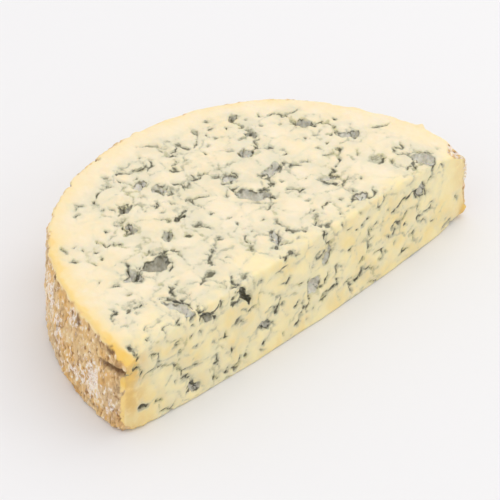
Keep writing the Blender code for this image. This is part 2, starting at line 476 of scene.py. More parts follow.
# %% Openings in the two cut faces
# middle on its face, length, width and depth in mm, turn in degrees, tone from 0 dark to 1 pale
Opening = namedtuple("Opening", "across along length width depth turn tone bend", defaults=[0.0])


def laid(kind, *rows):
    """Rows of numbers as marks of one kind."""
    return tuple(kind(*row) for row in rows)


TOP_OPENINGS = laid(
    Opening,
    (-33.2, 18.6, 8.0, 5.2, 3.6, -20, 0.36), (-40.2, 19.0, 5.6, 4.6, 2.2, 40, 0.72),
    (-41.8, 0.4, 12.0, 3.2, 2.0, 94, 1.0), (6.2, 21.6, 10.0, 4.8, 3.4, -58, 0.68),
    (18.4, 26.0, 8.2, 3.8, 2.2, 8, 0.85), (18.8, 35.8, 5.2, 3.4, 2.1, -30, 0.75),
    (52.0, 0.6, 7.6, 6.0, 3.0, 70, 0.6), (7.2, 31.8, 5.2, 3.8, 1.7, 20, 0.95),
    (-22.5, 25.0, 4.2, 2.6, 1.8, 35, 0.85), (-14.4, 28.4, 4.2, 2.4, 2.0, 25, 0.5),
    (-27.6, 34.6, 5.4, 2.6, 2.2, 68, 0.8), (-22.2, 41.0, 4.2, 3.2, 2.0, 30, 0.5),
    (-9.2, 41.6, 4.6, 2.4, 1.8, -55, 0.9), (-11.8, 46.8, 3.2, 2.8, 1.5, 0, 1.0),
    (45.6, 22.6, 6.0, 4.2, 2.0, -35, 0.7), (27.0, 12.0, 5.2, 2.8, 1.4, -60, 1.0),
    (40.2, 35.6, 6.2, 2.8, 1.8, -62, 0.7), (26.0, 42.0, 4.2, 2.8, 1.8, 20, 0.4),
    (28.8, 50.6, 4.0, 2.4, 1.6, 30, 0.8), (-3.0, 4.4, 6.4, 3.4, 1.8, 62, 1.0),
    (26.4, 0.8, 4.0, 2.6, 1.5, -20, 0.95),
)
CUT_OPENINGS = laid(
    Opening,
    (2.0, 11.4, 5.2, 4.6, 2.6, -30, 0.85), (-22.6, 21.6, 8.0, 3.0, 3.2, -62, 0.15),
    (46.2, 19.2, 4.4, 3.8, 2.4, 20, 1.0), (-36.6, 22.0, 4.6, 2.6, 2.2, -15, 0.35),
    (-43.2, 4.2, 4.4, 2.8, 1.8, 0, 0.6), (7.6, 18.8, 4.6, 2.8, 2.0, 60, 0.9),
    (-16.4, 9.0, 5.0, 2.2, 1.4, -8, 0.6), (-60.0, 6.6, 3.2, 1.8, 1.4, 10, 0.1),
)
print("openings:", len(TOP_OPENINGS) + len(CUT_OPENINGS))

# %% Strokes of mould
# middle on its face, length and width in mm, turn in degrees, tone, and how far its ends bend in mm
Stroke = namedtuple("Stroke", "across along length width turn tone bend", defaults=[0.0])

TOP_STROKES = laid(
    Stroke,
    (-46.4, 19.4, 3.6, 0.9, -40, 0.35), (-39.3, 22.4, 5.4, 1.2, 68, 0.1),
    (-38.6, 19.8, 3.0, 1.2, 0, 0.4), (-28.0, 20.5, 2.2, 1.9, 20, 0.2),
    (-30.8, 23.6, 2.0, 0.9, 20, 0.45), (-31.2, 14.9, 3.4, 0.9, 40, 0.12),
    (-25.4, 17.9, 2.6, 0.7, 20, 0.55), (-54.7, 11.6, 2.4, 1.6, 10, 0.2),
    (-56.5, 9.4, 2.2, 1.2, 80, 0.55), (-46.8, 14.2, 1.8, 1.1, -20, 0.3),
    (-51.3, 10.3, 2.0, 0.7, 15, 0.45), (-47.9, 9.0, 1.8, 0.8, 10, 0.3), (-39.3, 3.6, 7.0, 1.1, 86, 0.1),
    (-38.0, 7.0, 3.8, 1.9, 45, 0.05), (-26.0, 5.8, 3.2, 1.5, -5, 0.4), (-29.4, 5.2, 4.4, 0.6, 25, 0.4),
    (-22.4, 9.0, 2.6, 0.6, 55, 0.55), (-60.1, 0.3, 2.6, 1.2, 68, 0.25),
    (-60.7, -3.4, 1.8, 1.2, 60, 0.3), (-49.4, -1.4, 3.4, 0.8, 5, 0.5),
    (-46.3, -2.3, 2.4, 1.0, 25, 0.35), (-24.2, -1.2, 5.6, 1.9, 85, 0.0),
    (-38.7, -3.2, 2.2, 1.8, 80, 0.2), (-42.4, -1.8, 2.4, 0.8, 70, 0.35),
    (-20.6, -1.4, 3.4, 2.0, 35, 0.5), (-21.2, 25.6, 3.0, 1.0, 50, 0.25),
    (-13.6, 23.6, 2.6, 1.4, -20, 0.5), (-12.6, 21.0, 2.8, 1.2, -45, 0.3),
    (-5.0, 19.2, 2.4, 0.9, -5, 0.4), (-13.8, 14.8, 2.4, 1.8, -30, 0.45),
    (-18.8, 11.8, 2.8, 1.6, 15, 0.25), (-21.4, 10.7, 3.4, 0.7, 28, 0.4),
    (-8.2, 10.7, 2.2, 1.0, 30, 0.4), (-10.7, 5.6, 3.4, 2.2, 65, 0.5), (-3.4, 5.9, 5.2, 0.9, 58, 0.4),
    (-3.8, 2.6, 8.6, 1.0, 28, 0.35), (1.5, 4.8, 1.5, 1.3, 60, 0.3), (2.2, 7.8, 3.6, 1.1, 85, 0.65),
    (4.6, 1.1, 1.9, 1.0, -50, 0.3), (9.5, 1.5, 3.6, 1.0, 52, 0.35), (11.2, 3.2, 2.2, 1.2, 55, 0.4),
    (10.6, -1.8, 2.8, 1.0, 80, 0.5), (17.2, 5.4, 4.2, 0.8, 10, 0.4), (10.2, 21.5, 3.6, 2.3, -38, 0.0),
    (9.0, 17.9, 3.8, 1.8, -58, 0.1), (4.8, 26.9, 3.4, 1.2, 32, 0.35), (5.7, 15.2, 3.2, 1.1, 30, 0.5),
    (13.8, 21.9, 2.8, 1.0, 62, 0.4), (14.6, 26.8, 2.3, 1.9, 0, 0.45), (20.6, 25.6, 2.8, 1.8, 85, 0.25),
    (15.9, 16.5, 3.4, 1.3, -38, 0.5), (17.6, 14.2, 2.4, 1.1, 0, 0.35), (7.8, -3.2, 1.8, 1.3, 45, 0.3),
    (22.7, 25.8, 1.8, 1.3, 10, 0.2), (24.3, 23.6, 3.2, 2.8, -20, -0.2),
    (27.4, 22.5, 2.2, 1.0, -10, 0.4), (24.4, 12.0, 4.8, 2.2, -78, 0.1), (29.5, 13.7, 3.6, 1.8, 22, 0.3),
    (28.4, 8.8, 3.6, 0.8, 5, 0.6), (24.2, 1.4, 2.2, 1.0, 25, 0.35), (26.7, 0.5, 1.3, 1.1, 45, 0.08),
    (27.8, -1.0, 2.0, 0.9, -30, 0.35), (30.6, -0.2, 2.6, 0.8, 45, 0.4),
    (35.2, 16.8, 4.2, 0.8, 45, 0.32), (38.5, 19.9, 2.4, 1.5, 55, 0.22),
    (34.0, 20.4, 2.2, 0.9, -10, 0.5), (45.6, 28.0, 2.6, 1.7, 60, 0.5), (46.6, 20.9, 3.4, 2.6, 30, 0.12),
    (54.6, 19.3, 5.4, 1.3, -28, 0.5), (42.3, 9.6, 4.4, 3.4, -20, 0.85), (42.3, 7.9, 1.5, 1.0, 20, 0.3),
    (49.3, 9.0, 2.8, 1.0, 48, 0.4), (51.9, 9.0, 2.6, 0.8, 35, 0.55), (49.4, 6.0, 2.4, 1.4, -50, 0.45),
    (47.0, -0.7, 2.2, 1.2, 60, 0.25), (48.4, 1.2, 3.4, 0.7, 50, 0.4), (53.2, 4.2, 3.8, 0.8, -35, 0.35),
    (45.1, 0.5, 2.2, 0.8, 15, 0.4), (-45.9, 39.3, 2.4, 1.1, 65, 0.45),
    (-47.2, 34.2, 2.4, 1.1, -42, 0.38), (-40.2, 33.6, 1.7, 1.0, -20, 0.35),
    (-37.0, 34.0, 2.0, 1.0, 65, 0.5), (-34.0, 31.8, 2.2, 1.1, -60, 0.35),
    (-28.8, 32.7, 3.0, 2.4, -10, 0.0), (-28.6, 35.0, 4.8, 1.1, 78, 0.1),
    (-26.7, 34.9, 4.2, 0.9, 60, 0.4), (-26.5, 38.5, 2.8, 1.4, 30, 0.5),
    (-22.8, 41.4, 4.6, 1.6, 38, 0.3), (-25.0, 44.2, 2.2, 1.1, 75, 0.5),
    (-33.3, 48.5, 2.0, 1.4, -40, 0.45), (-30.0, 50.8, 3.4, 0.8, -15, 0.45),
    (-26.0, 49.2, 2.4, 0.9, 60, 0.25), (-22.9, 51.8, 4.0, 1.0, 22, 0.22),
    (-18.5, 52.7, 3.0, 1.1, 28, 0.4), (-14.4, 51.6, 3.0, 0.9, -70, 0.5),
    (-12.2, 54.1, 2.0, 1.1, -25, 0.2), (-7.0, 51.8, 4.8, 2.2, -20, 0.28),
    (-3.6, 50.7, 3.6, 1.1, 25, 0.3), (-12.9, 46.5, 3.0, 0.9, -62, 0.35),
    (-10.7, 46.1, 2.4, 0.9, 62, 0.4), (-10.0, 41.4, 3.4, 1.2, -60, 0.45),
    (-8.1, 41.8, 2.6, 0.9, 80, 0.4), (-8.0, 38.3, 2.2, 1.4, 20, 0.4), (-15.6, 36.9, 2.8, 0.9, 72, 0.35),
    (-14.3, 37.7, 2.0, 1.1, 60, 0.2), (-11.4, 29.9, 1.5, 1.3, 0, 0.08),
    (-13.2, 29.6, 2.8, 1.0, 10, 0.3), (-5.0, 31.6, 7.0, 1.0, -30, 0.33, -0.6),
    (-4.4, 39.6, 2.4, 1.0, -60, 0.3), (-2.8, 37.0, 3.6, 1.2, 10, 0.4), (0.6, 38.0, 5.0, 1.1, 8, 0.25),
    (3.9, 38.3, 3.0, 1.4, -50, 0.28), (-0.8, 44.6, 2.0, 1.2, -45, 0.4), (3.4, 50.6, 2.0, 1.0, -5, 0.25),
    (2.0, 46.9, 3.0, 0.9, -6, 0.35), (9.2, 53.0, 2.6, 2.2, 60, 0.65), (12.6, 50.0, 4.6, 0.9, 28, 0.38),
    (8.9, 50.9, 3.6, 0.8, -48, 0.5), (16.4, 54.0, 1.8, 1.1, 20, 0.42), (3.0, 57.6, 9.0, 0.6, -50, 0.85),
    (16.7, 40.9, 2.4, 1.1, -70, 0.35), (20.6, 34.9, 4.8, 1.0, 14, 0.18),
    (17.6, 37.3, 2.4, 1.6, 40, 0.4), (5.4, 34.5, 2.8, 1.6, -50, 0.42), (7.9, 33.7, 1.6, 1.3, 0, 0.38),
    (10.2, 32.2, 3.8, 1.0, 85, 0.38), (7.0, 30.6, 3.2, 1.3, 48, 0.25), (22.6, 54.9, 2.2, 1.6, -60, 0.5),
    (28.2, 50.8, 3.0, 1.6, 55, 0.45), (27.2, 46.8, 3.2, 1.1, 75, 0.7), (23.4, 42.0, 2.6, 2.4, 0, 0.7),
    (26.3, 41.8, 3.0, 1.2, 6, 0.12), (27.5, 43.8, 2.2, 0.9, 70, 0.5), (24.0, 37.8, 3.2, 0.9, 60, 0.4),
    (25.2, 34.1, 2.2, 1.2, -45, 0.5), (37.6, 44.9, 2.8, 1.2, -18, 0.35),
    (38.8, 42.6, 3.0, 1.0, -58, 0.45), (42.9, 41.0, 2.2, 1.1, 25, 0.35),
    (38.9, 37.2, 4.4, 1.2, 66, 0.42), (40.2, 33.9, 4.0, 2.6, -65, 0.1),
    (43.8, 32.5, 3.0, 1.1, -22, 0.42), (45.6, 30.6, 2.4, 1.1, -70, 0.5),
)
# edges of the deep openings on the left, which grow no branches
# Two of them lie in the floors as dark bands, partly mould and partly painted shade below the far rims.
FIRM_STROKES = laid(
    Stroke,
    (-39.5, 3.0, 12.2, 0.9, -76, 0.08, -1.3), (-38.8, -3.6, 2.6, 1.4, -84, 0.05),
    (-39.5, 19.6, 3.4, 1.2, -53, 0.0), (-34.0, 17.0, 3.4, 1.1, -54, 0.15),
    (-27.9, 20.5, 2.7, 1.1, -27, 0.1),
)
print("strokes on top:", len(TOP_STROKES) + len(FIRM_STROKES))

# %% Strokes on the cut face
CUT_STROKES = laid(
    Stroke,
    (-63.3, 18.8, 4.6, 0.6, 20, 0.3), (-61.2, 19.4, 2.4, 1.3, -15, 0.08),
    (-55.2, 20.6, 3.8, 1.0, -8, 0.22), (-57.6, 16.1, 4.8, 0.9, 8, 0.4),
    (-53.6, 15.5, 2.4, 1.4, -20, 0.5), (-46.6, 16.5, 1.9, 1.2, 40, 0.3),
    (-41.6, 15.6, 2.2, 0.9, -22, 0.22), (-48.7, 13.4, 3.4, 2.3, -28, 0.2),
    (-46.9, 12.1, 2.2, 0.8, -35, 0.4), (-44.9, 10.7, 2.0, 0.8, -25, 0.35),
    (-41.9, 10.2, 3.6, 1.8, 0, 0.2), (-54.6, 5.6, 1.8, 1.1, 60, 0.25),
    (-45.1, 7.5, 4.8, 1.7, -20, 0.15), (-43.0, 4.6, 4.4, 0.8, -8, 0.3),
    (-42.4, 3.2, 1.6, 1.0, -40, 0.25), (-45.3, 3.8, 2.2, 0.7, 85, 0.4),
    (-34.9, 8.7, 2.8, 1.1, -40, 0.25), (-34.6, 6.2, 2.6, 1.1, -30, 0.3),
    (-35.7, 2.8, 3.4, 1.2, -38, 0.2), (-31.9, 2.5, 2.2, 0.9, 10, 0.3), (-28.8, 2.2, 3.8, 1.1, -5, 0.35),
    (-27.4, 3.7, 2.0, 1.0, 75, 0.3), (-29.4, 7.9, 2.4, 1.1, -62, 0.25), (-31.7, 13.2, 2.8, 0.9, 0, 0.2),
    (-36.4, 21.8, 4.6, 0.8, 0, 0.2), (-31.0, 22.7, 1.7, 0.9, 70, 0.3),
    (-38.3, 24.5, 2.8, 1.4, -40, 0.18), (-26.5, 20.6, 3.2, 0.8, -5, 0.28),
    (-24.9, 23.3, 2.4, 0.8, 25, 0.35), (-20.9, 20.2, 2.6, 1.2, -40, 0.12),
    (-25.5, 14.9, 4.6, 1.9, -5, 0.78), (-23.2, 17.7, 3.6, 0.8, -20, 0.42),
    (-20.8, 16.5, 2.6, 1.1, -22, 0.25), (-52.4, 1.3, 5.4, 0.9, 3, 0.5),
    (-16.6, 22.0, 2.0, 1.0, 8, 0.18), (-9.0, 22.0, 4.4, 0.6, 3, 0.5), (-7.1, 24.6, 2.2, 1.1, 42, 0.35),
    (-3.8, 24.4, 2.4, 1.1, -18, 0.3), (-8.4, 17.7, 4.2, 0.9, -3, 0.28),
    (-11.3, 14.9, 2.4, 1.2, -10, 0.35), (-14.1, 12.4, 3.6, 0.9, -5, 0.28),
    (-12.2, 11.3, 2.2, 1.4, 35, 0.35), (-18.2, 9.5, 3.2, 0.9, -10, 0.3),
    (-15.6, 9.0, 4.0, 1.5, -8, 0.32), (-5.2, 9.4, 2.4, 1.6, 25, 0.28), (0.3, 13.4, 2.4, 1.0, 80, 0.22),
    (1.6, 13.8, 1.6, 0.8, 10, 0.2), (4.6, 10.2, 2.6, 0.8, 0, 0.42), (-5.9, 3.5, 2.4, 1.1, 0, 0.25),
    (-17.9, 4.1, 1.3, 1.2, 0, 0.2), (-1.5, 7.4, 3.4, 0.8, 15, 0.65), (5.2, 18.8, 4.0, 1.6, -8, 0.15),
    (9.5, 18.7, 3.2, 1.3, 0, 0.1), (8.8, 21.5, 2.6, 1.4, -22, 0.28), (6.9, 11.4, 2.0, 1.0, 20, 0.3),
    (10.5, 11.5, 3.6, 1.2, 82, 0.32), (11.4, 12.2, 2.6, 0.7, -30, 0.42), (7.8, 7.0, 6.8, 1.5, 3, 0.15),
    (5.0, 6.0, 4.0, 0.9, 0, 0.52), (14.6, 6.5, 3.8, 0.7, 5, 0.55), (16.9, 14.7, 2.6, 0.9, 0, 0.55),
    (14.6, 23.6, 2.0, 1.0, 75, 0.25), (18.4, 5.2, 4.4, 1.8, 14, 0.3), (20.7, 6.1, 2.8, 2.3, 60, 0.2),
    (15.7, 2.9, 2.2, 1.2, -38, 0.4), (21.0, 9.3, 2.2, 1.2, 0, 0.35), (8.0, 24.6, 2.8, 1.1, -35, 0.33),
    (22.8, 20.5, 1.7, 1.1, 0, 0.22), (24.7, 20.9, 1.7, 1.0, 20, 0.28), (24.6, 17.0, 3.0, 1.2, 80, 0.4),
    (24.3, 13.4, 4.6, 1.5, -78, 0.38), (26.2, 17.5, 2.4, 0.8, -12, 0.42),
    (28.9, 22.7, 2.2, 1.5, -40, 0.38), (32.4, 24.0, 2.2, 0.9, 38, 0.42),
    (39.2, 19.4, 11.0, 0.9, 10, 0.32, -0.9), (35.0, 17.7, 2.2, 1.0, 12, 0.33),
    (44.3, 19.3, 1.9, 1.5, 0, 0.08), (46.2, 20.9, 2.4, 0.9, 5, 0.28), (47.6, 18.4, 3.4, 0.9, -62, 0.3),
    (46.2, 17.3, 3.0, 0.7, -22, 0.42), (49.8, 21.4, 2.4, 0.8, 15, 0.45),
    (51.5, 22.9, 2.6, 1.0, 85, 0.65), (55.2, 22.5, 3.0, 1.2, -28, 0.5),
    (34.4, 13.1, 2.2, 1.4, 10, 0.35), (36.2, 13.6, 2.4, 0.8, -30, 0.45),
    (39.0, 14.5, 2.8, 1.1, 25, 0.33), (32.4, 11.0, 4.4, 0.8, -12, 0.5), (27.8, 9.4, 3.8, 0.9, 0, 0.42),
    (42.0, 7.2, 2.6, 1.1, 22, 0.4), (45.2, 9.9, 3.4, 0.8, -48, 0.5), (45.0, 11.3, 2.8, 0.9, 28, 0.45),
    (48.4, 11.2, 3.0, 0.9, -20, 0.5), (22.8, 6.3, 3.4, 0.8, -8, 0.45), (37.9, 3.3, 4.6, 0.9, -4, 0.42),
    (23.8, 1.4, 3.8, 0.8, -12, 0.35), (57.4, 2.2, 5.6, 1.4, -3, 0.55), (62.7, 8.7, 2.8, 1.3, -60, 0.45),
)
print("strokes on the cut face:", len(CUT_STROKES))

# %% [markdown]
# ## From a row to a ball
#
# A ball on the top face is turned about Z. One on the cut face is turned about Y, and its depth runs
# into the slice. The underside, which the picture doesn't show, takes the top's marks mirrored.
# Branches of the strokes, thin links between marks and specks are drawn at random from one seed, in
# the same form. Only the firm strokes at the deep openings stay as they are. Specks keep clear of
# the rind.

# %% Balls in the slice
# middle, half sizes along its own axes, those axes, tone, bend, and the axis that the bend goes along
Ball = namedtuple("Ball", "place half axes tone bend aside")
UNDER_WIDER, UNDER_SHALLOWER = 1.3, 0.5  # shares of a top mark's width and depth


def ball(mark, place, size, degrees, aside=1):
    """A ball round a place: half of each size, along axes turned by three angles."""
    axes = np.array(Euler([math.radians(angle) for angle in degrees]).to_matrix())
    return Ball(np.array(place, float), np.array(size, float) / 2, axes, mark.tone, mark.bend, aside)


def on_top(mark, depth):
    """A ball whose middle lies in the top face: half of it is sunk."""
    height = float(top_height(np.array([mark.across]), np.array([mark.along]))[0])
    size = (mark.length, mark.width, 2 * depth)
    return ball(mark, (mark.across, mark.along, height), size, (0, 0, mark.turn))


def on_cut(mark, depth):
    """The same in the cut face, where its own axes are length, depth and width."""
    low = 1 - mark.along / THICKNESS
    cut = float(cut_reach(np.array([mark.across]), np.array([mark.along]), np.array([low]))[0])
    size = (mark.length, 2 * depth, mark.width)
    return ball(mark, (mark.across, -cut, mark.along), size, (0, -mark.turn, 0), aside=2)


def on_underside(mark, depth):
    """The top face's mark again, mirrored left to right and a little wider, in the underside."""
    size = (mark.length, UNDER_WIDER * mark.width, 2 * depth)
    return ball(mark, (-mark.across, mark.along, 0.0), size, (0, 0, -mark.turn))


openings = [on_top(o, o.depth) for o in TOP_OPENINGS] + [on_cut(o, o.depth) for o in CUT_OPENINGS]
openings += [on_underside(o, UNDER_SHALLOWER * o.depth) for o in TOP_OPENINGS]
print("balls of the openings:", len(openings))

# %% Bends and branches
STROKE_DEPTH = 1.4
SLIM = 0.8  # share of a row's width
BEND_SPREAD = 0.13  # share of a stroke's length
BRANCH_FROM, BRANCH_CHANCE, BRANCH_WIDTH = 2.0, 0.75, 0.55
BRANCH_TURN, BRANCH_LENGTH, BRANCH_START = (30, 75), (0.35, 0.65), (0.1, 0.45)  # degrees, shares
BRANCH_PALER, BRANCH_BEND = 0.15, 0.3
random = np.random.default_rng(41)


def scribbled(rows):
    """Each stroke, slimmer and a little bent, most with a thin branch that leaves it at an angle."""
    for row in rows:
        bend = row.bend or random.normal(0, BEND_SPREAD) * row.length
        yield row._replace(width=SLIM * row.width, bend=bend)
        if row.length < BRANCH_FROM or random.uniform() > BRANCH_CHANCE:
            continue
        turn = row.turn + random.choice((-1, 1)) * random.uniform(*BRANCH_TURN)
        length = row.length * random.uniform(*BRANCH_LENGTH)
        from_middle = random.choice((-1, 1)) * row.length * random.uniform(*BRANCH_START)
        main, side = math.radians(row.turn), math.radians(turn)
        across = row.across + from_middle * math.cos(main) + length / 2 * math.cos(side)
        along = row.along + from_middle * math.sin(main) + length / 2 * math.sin(side)
        tone, bend = row.tone + BRANCH_PALER, random.normal(0, BRANCH_BEND)
        yield Stroke(across, along, length, BRANCH_WIDTH, turn, tone, bend)


strokes = [on_top(s, STROKE_DEPTH) for s in scribbled(TOP_STROKES)]
strokes += [on_cut(s, STROKE_DEPTH) for s in scribbled(CUT_STROKES)]
strokes += [on_underside(s, STROKE_DEPTH) for s in TOP_STROKES]
strokes += [on_top(s, STROKE_DEPTH) for s in FIRM_STROKES]
print("balls of the strokes and branches:", len(strokes))

# %% Links from mark to mark
LINK_SHORT, LINK_LONG, LINK_WIDTH, LINK_TONE = 0.8, 4.5, 0.55, 0.45
LINK_OVERLAP, LINK_BEND, LINK_SPREAD = 1.1, 0.2, (-0.15, 0.2)
TOP_LINKED, CUT_LINKED = 0.6, 0.3  # chance of a link where the way is short


def ends_of(row):
    """Both ends of a mark: its middle, less and plus half its length along its turn."""
    turn = math.radians(row.turn)
    half = np.array([math.cos(turn), math.sin(turn)]) * row.length / 2
    middle = np.array([row.across, row.along])
    return middle - half, middle + half


def links(rows, chance):
    """A thin vein from an end of a mark to the nearest end of another, where the way is short."""
    ends = np.array([ends_of(row) for row in rows])
    for index, pair in enumerate(ends):
        end = pair[random.integers(2)]
        ways = np.delete(ends, index, axis=0).reshape(-1, 2) - end
        way = ways[np.linalg.norm(ways, axis=1).argmin()]
        length = float(np.linalg.norm(way))
        if LINK_SHORT < length < LINK_LONG and random.uniform() < chance:
            turn = math.degrees(math.atan2(way[1], way[0]))
            tone = LINK_TONE + random.uniform(*LINK_SPREAD)
            bend = LINK_BEND * length * random.normal()
            yield Stroke(*(end + way / 2), LINK_OVERLAP * length, LINK_WIDTH, turn, tone, bend)


top_links = list(links(TOP_STROKES + TOP_OPENINGS, TOP_LINKED))
cut_links = list(links(CUT_STROKES + CUT_OPENINGS, CUT_LINKED))
strokes += [on_top(s, STROKE_DEPTH) for s in top_links] + [on_cut(s, STROKE_DEPTH) for s in cut_links]
print("links:", len(top_links), len(cut_links))

# %% Specks between them
SPECK_CELL, SPECK_CHANCE = 3.6, 0.33
SPECK_NEAR, SPECK_FAR = 1.0, 4.0
SPECK_LENGTH, SPECK_SLIM, SPECK_TONE = (0.7, 1.8), (0.35, 0.6), (0.15, 0.75)
SPECK_THIN, SPECK_BEND = 0.5, 0.2
RIND_CLEAR, EDGE_CLEAR = 6.0, 1.0  # margins without specks
TOP_AREA, CUT_AREA = ((-60, -2), (60, 60)), ((-60, 1), (60, 24))
TOP_LEAN, CUT_LEAN = 90, 35  # most turn in degrees, because the curds on the cut were pressed flat


def speck_rows(low, high, marks, keep, lean):
    """One speck in some cells of a jittered lattice on a face, near its marks but clear of them."""
    steps = [np.arange(start, end, SPECK_CELL) for start, end in zip(low, high)]
    places = np.stack([side.ravel() for side in np.meshgrid(*steps)], axis=-1)
    places = places + random.uniform(0, SPECK_CELL, places.shape)
    marked = np.array([(m.across, m.along) for m in marks])
    reach = np.array([m.length / 2 for m in marks])
    gaps = (np.linalg.norm(places[:, None] - marked[None], axis=-1) - reach).min(axis=1)
    free = (gaps > SPECK_NEAR) & (gaps < SPECK_FAR) & keep(places)
    free = free & (random.uniform(size=len(places)) < SPECK_CHANCE)
    for x, y in places[free]:
        length, slim = random.uniform(*SPECK_LENGTH), random.uniform(*SPECK_SLIM)
        turn, tone = random.uniform(-1, 1) * lean, random.uniform(*SPECK_TONE)
        width = max(SPECK_THIN, length * slim)
        yield Stroke(x, y, length, width, turn, tone, random.normal(0, SPECK_BEND))


def on_top_face(places):
    """True where the way to the wheel's axis is shorter than its radius less the rind."""
    return np.hypot(places[:, 0], places[:, 1]) < WHEEL_RADIUS - RIND_CLEAR


def on_cut_face(places):
    """True between the rinds at both ends, and clear of the upper and the lower edge."""
    inside = np.abs(places[:, 0]) < WHEEL_RADIUS - RIND_CLEAR
    return inside & (places[:, 1] > EDGE_CLEAR) & (places[:, 1] < THICKNESS - EDGE_CLEAR)


top_specks = list(speck_rows(*TOP_AREA, TOP_STROKES + TOP_OPENINGS, on_top_face, TOP_LEAN))
cut_specks = list(speck_rows(*CUT_AREA, CUT_STROKES + CUT_OPENINGS, on_cut_face, CUT_LEAN))
strokes += [on_top(s, STROKE_DEPTH) for s in top_specks] + [on_cut(s, STROKE_DEPTH) for s in cut_specks]
print("specks:", len(top_specks), len(cut_specks))

# %% Distance to the marks
FAR = 3.0  # marks further off than this aren't looked at
MID_TONE = 0.4  # where no mark is near
WARPS = ((0.9, 2.8), (0.45, 1.3))  # how far noise bends the marks, and the size of its lumps
HOLLOW_WARPS = ((1.5, 3.4), (0.7, 1.5))  # openings are more ragged
TAPER = 0.3  # how much closer to the line a stroke's ends have to be


def warped(places, warps):
    """Each point moved by noise along X, Y and Z, so that marks laid by formula get ragged edges."""
    moved = places.copy()
    for seed, (amount, size) in enumerate(warps):
        for axis in range(3):
            moved[:, axis] += amount * lattice_noise(places, size, 60 + 3 * seed + axis)
    return moved


def local_place(places, mark):
    """Places along a ball's own axes, its ends bent aside by bend times (share of length)^2."""
    local = (places - mark.place) @ mark.axes
    local[:, mark.aside] -= mark.bend * (local[:, 0] / mark.half[0]) ** 2
    return local


def mark_field(places, marks):
    """(distance inside the nearest ball, its tone, distance from the nearest centreline).

    Inside, the first is (1 - share of the ball's size) times its smallest half size. Outside, it is
    negative: the way to the ball on the line to its middle. The centreline runs along a ball's length.
    Depth doesn't count for it, and (share of length)^2 is added to taper its ends.
    """
    field, tone = np.full(len(places), -FAR), np.full(len(places), MID_TONE)
    core = np.full(len(places), FAR)
    for mark in marks:
        reach = mark.half.max() + FAR
        near = np.flatnonzero(((places - mark.place) ** 2).sum(axis=1) < reach**2)
        local = local_place(places[near], mark)
        share = np.maximum(np.linalg.norm(local / mark.half, axis=1), 1e-6)
        outside = np.linalg.norm(local, axis=1) * (1 - 1 / share)
        gap = np.where(share < 1, (1 - share) * np.sort(mark.half)[0], -outside)
        better = gap > field[near]
        field[near] = np.where(better, gap, field[near])
        tone[near] = np.where(better, mark.tone, tone[near])
        over = np.maximum(np.abs(local) - mark.half, 0)
        side, deep = mark.aside, 3 - mark.aside
        line = np.sqrt(over[:, 0] ** 2 + local[:, side] ** 2 + over[:, deep] ** 2)
        line = line + TAPER * np.minimum(1, (local[:, 0] / mark.half[0]) ** 2)
        core[near] = np.minimum(core[near], line)
    return field, tone, core


bent = warped(points, WARPS)
ragged = warped(points, HOLLOW_WARPS)
hollow, hollow_tone, _ = mark_field(ragged, openings)
stroke, stroke_tone, core = mark_field(bent, strokes)
print("share under mould:", round(float((np.maximum(hollow, stroke) > 0).mean()), 3))

# %% [markdown]
# ## Curd grains
#
# Below the listed marks the paste still shows its grains: rounded lumps about 9 mm wide and
# flattened to 5 mm, pressed together. Each grain grows round a seed in a jittered lattice, and the
# gap between two grains is where the two nearest seeds are equally far. Veins along these gaps are
# thin on the top and the cut face, and wider on the underside.

# %% Distance to the nearest gap between grains
GRAIN = np.array([9.0, 9.0, 5.5])


def grain_gap(places, seed):
    """Distance to the plane half way between the nearest seeds A and B: (|p-B|^2-|p-A|^2)/2|B-A|."""
    jitter = np.random.default_rng(seed).uniform(0.1, 0.9, (LATTICE, LATTICE, LATTICE, 3))
    scaled = places / GRAIN
    cell = np.floor(scaled).astype(int)
    shift = np.array(list(np.ndindex(3, 3, 3))) - 1
    seeds = []
    for step in shift:
        spot = cell + step
        seeds.append(spot + jitter[tuple((spot % LATTICE).T)])
    seeds = np.stack(seeds, axis=1)
    squares = (((seeds - scaled[:, None]) * GRAIN) ** 2).sum(axis=-1)
    order = np.argsort(squares, axis=1)[:, :2]
    nearest = np.take_along_axis(squares, order, axis=1)
    a, b = (np.take_along_axis(seeds, order[:, k, None, None], axis=1)[:, 0] for k in (0, 1))
    return (nearest[:, 1] - nearest[:, 0]) / 2 / np.linalg.norm((b - a) * GRAIN, axis=1)


gap = grain_gap(bent, 5)
print("mean distance to a gap in mm:", round(float(gap.mean()), 2))

# %% How far each point lies inside the rind


def inside_rind(places):
    """The wall's reach at this angle and height, less the distance from the axis."""
    x, y, z = places.T
    low = 1 - np.clip(z / THICKNESS, 0, 1)
    return wall_reach(np.arctan2(y, x), z, low) - np.hypot(x, y)


def wall_run(places):
    """Millimetres round the wall from the left corner, at the mean radius."""
    angle = np.arctan2(places[:, 1], places[:, 0]) % (2 * np.pi)
    angle = np.where(angle > 1.5 * np.pi, angle - 2 * np.pi, angle)
    return (np.pi + CUT_OFFSET / WHEEL_RADIUS - angle) * WHEEL_RADIUS


inward = inside_rind(points)
run = wall_run(points)
print("inward from", round(float(inward.min()), 2), "to", round(float(inward.max()), 2))

# %% Crowding of the marks
HAZE_REACH, HAZE_END = 4.2, 2.5  # in mm, and where nothing is left, in reaches


def crowding(places, marks):
    """The sum over the marks of their area, fading as exp(-(distance/reach)^2)."""
    total = np.zeros(len(places))
    for mark in marks:
        away = ((places - mark.place) ** 2).sum(axis=1)
        near = np.flatnonzero(away < (HAZE_END * HAZE_REACH) ** 2)
        sides = np.sort(mark.half)[::-1]
        total[near] += sides[0] * sides[1] * np.exp(-away[near] / HAZE_REACH**2)
    return total


crowd = crowding(points, openings + strokes)
print("mean crowding:", round(float(crowd.mean()), 2))

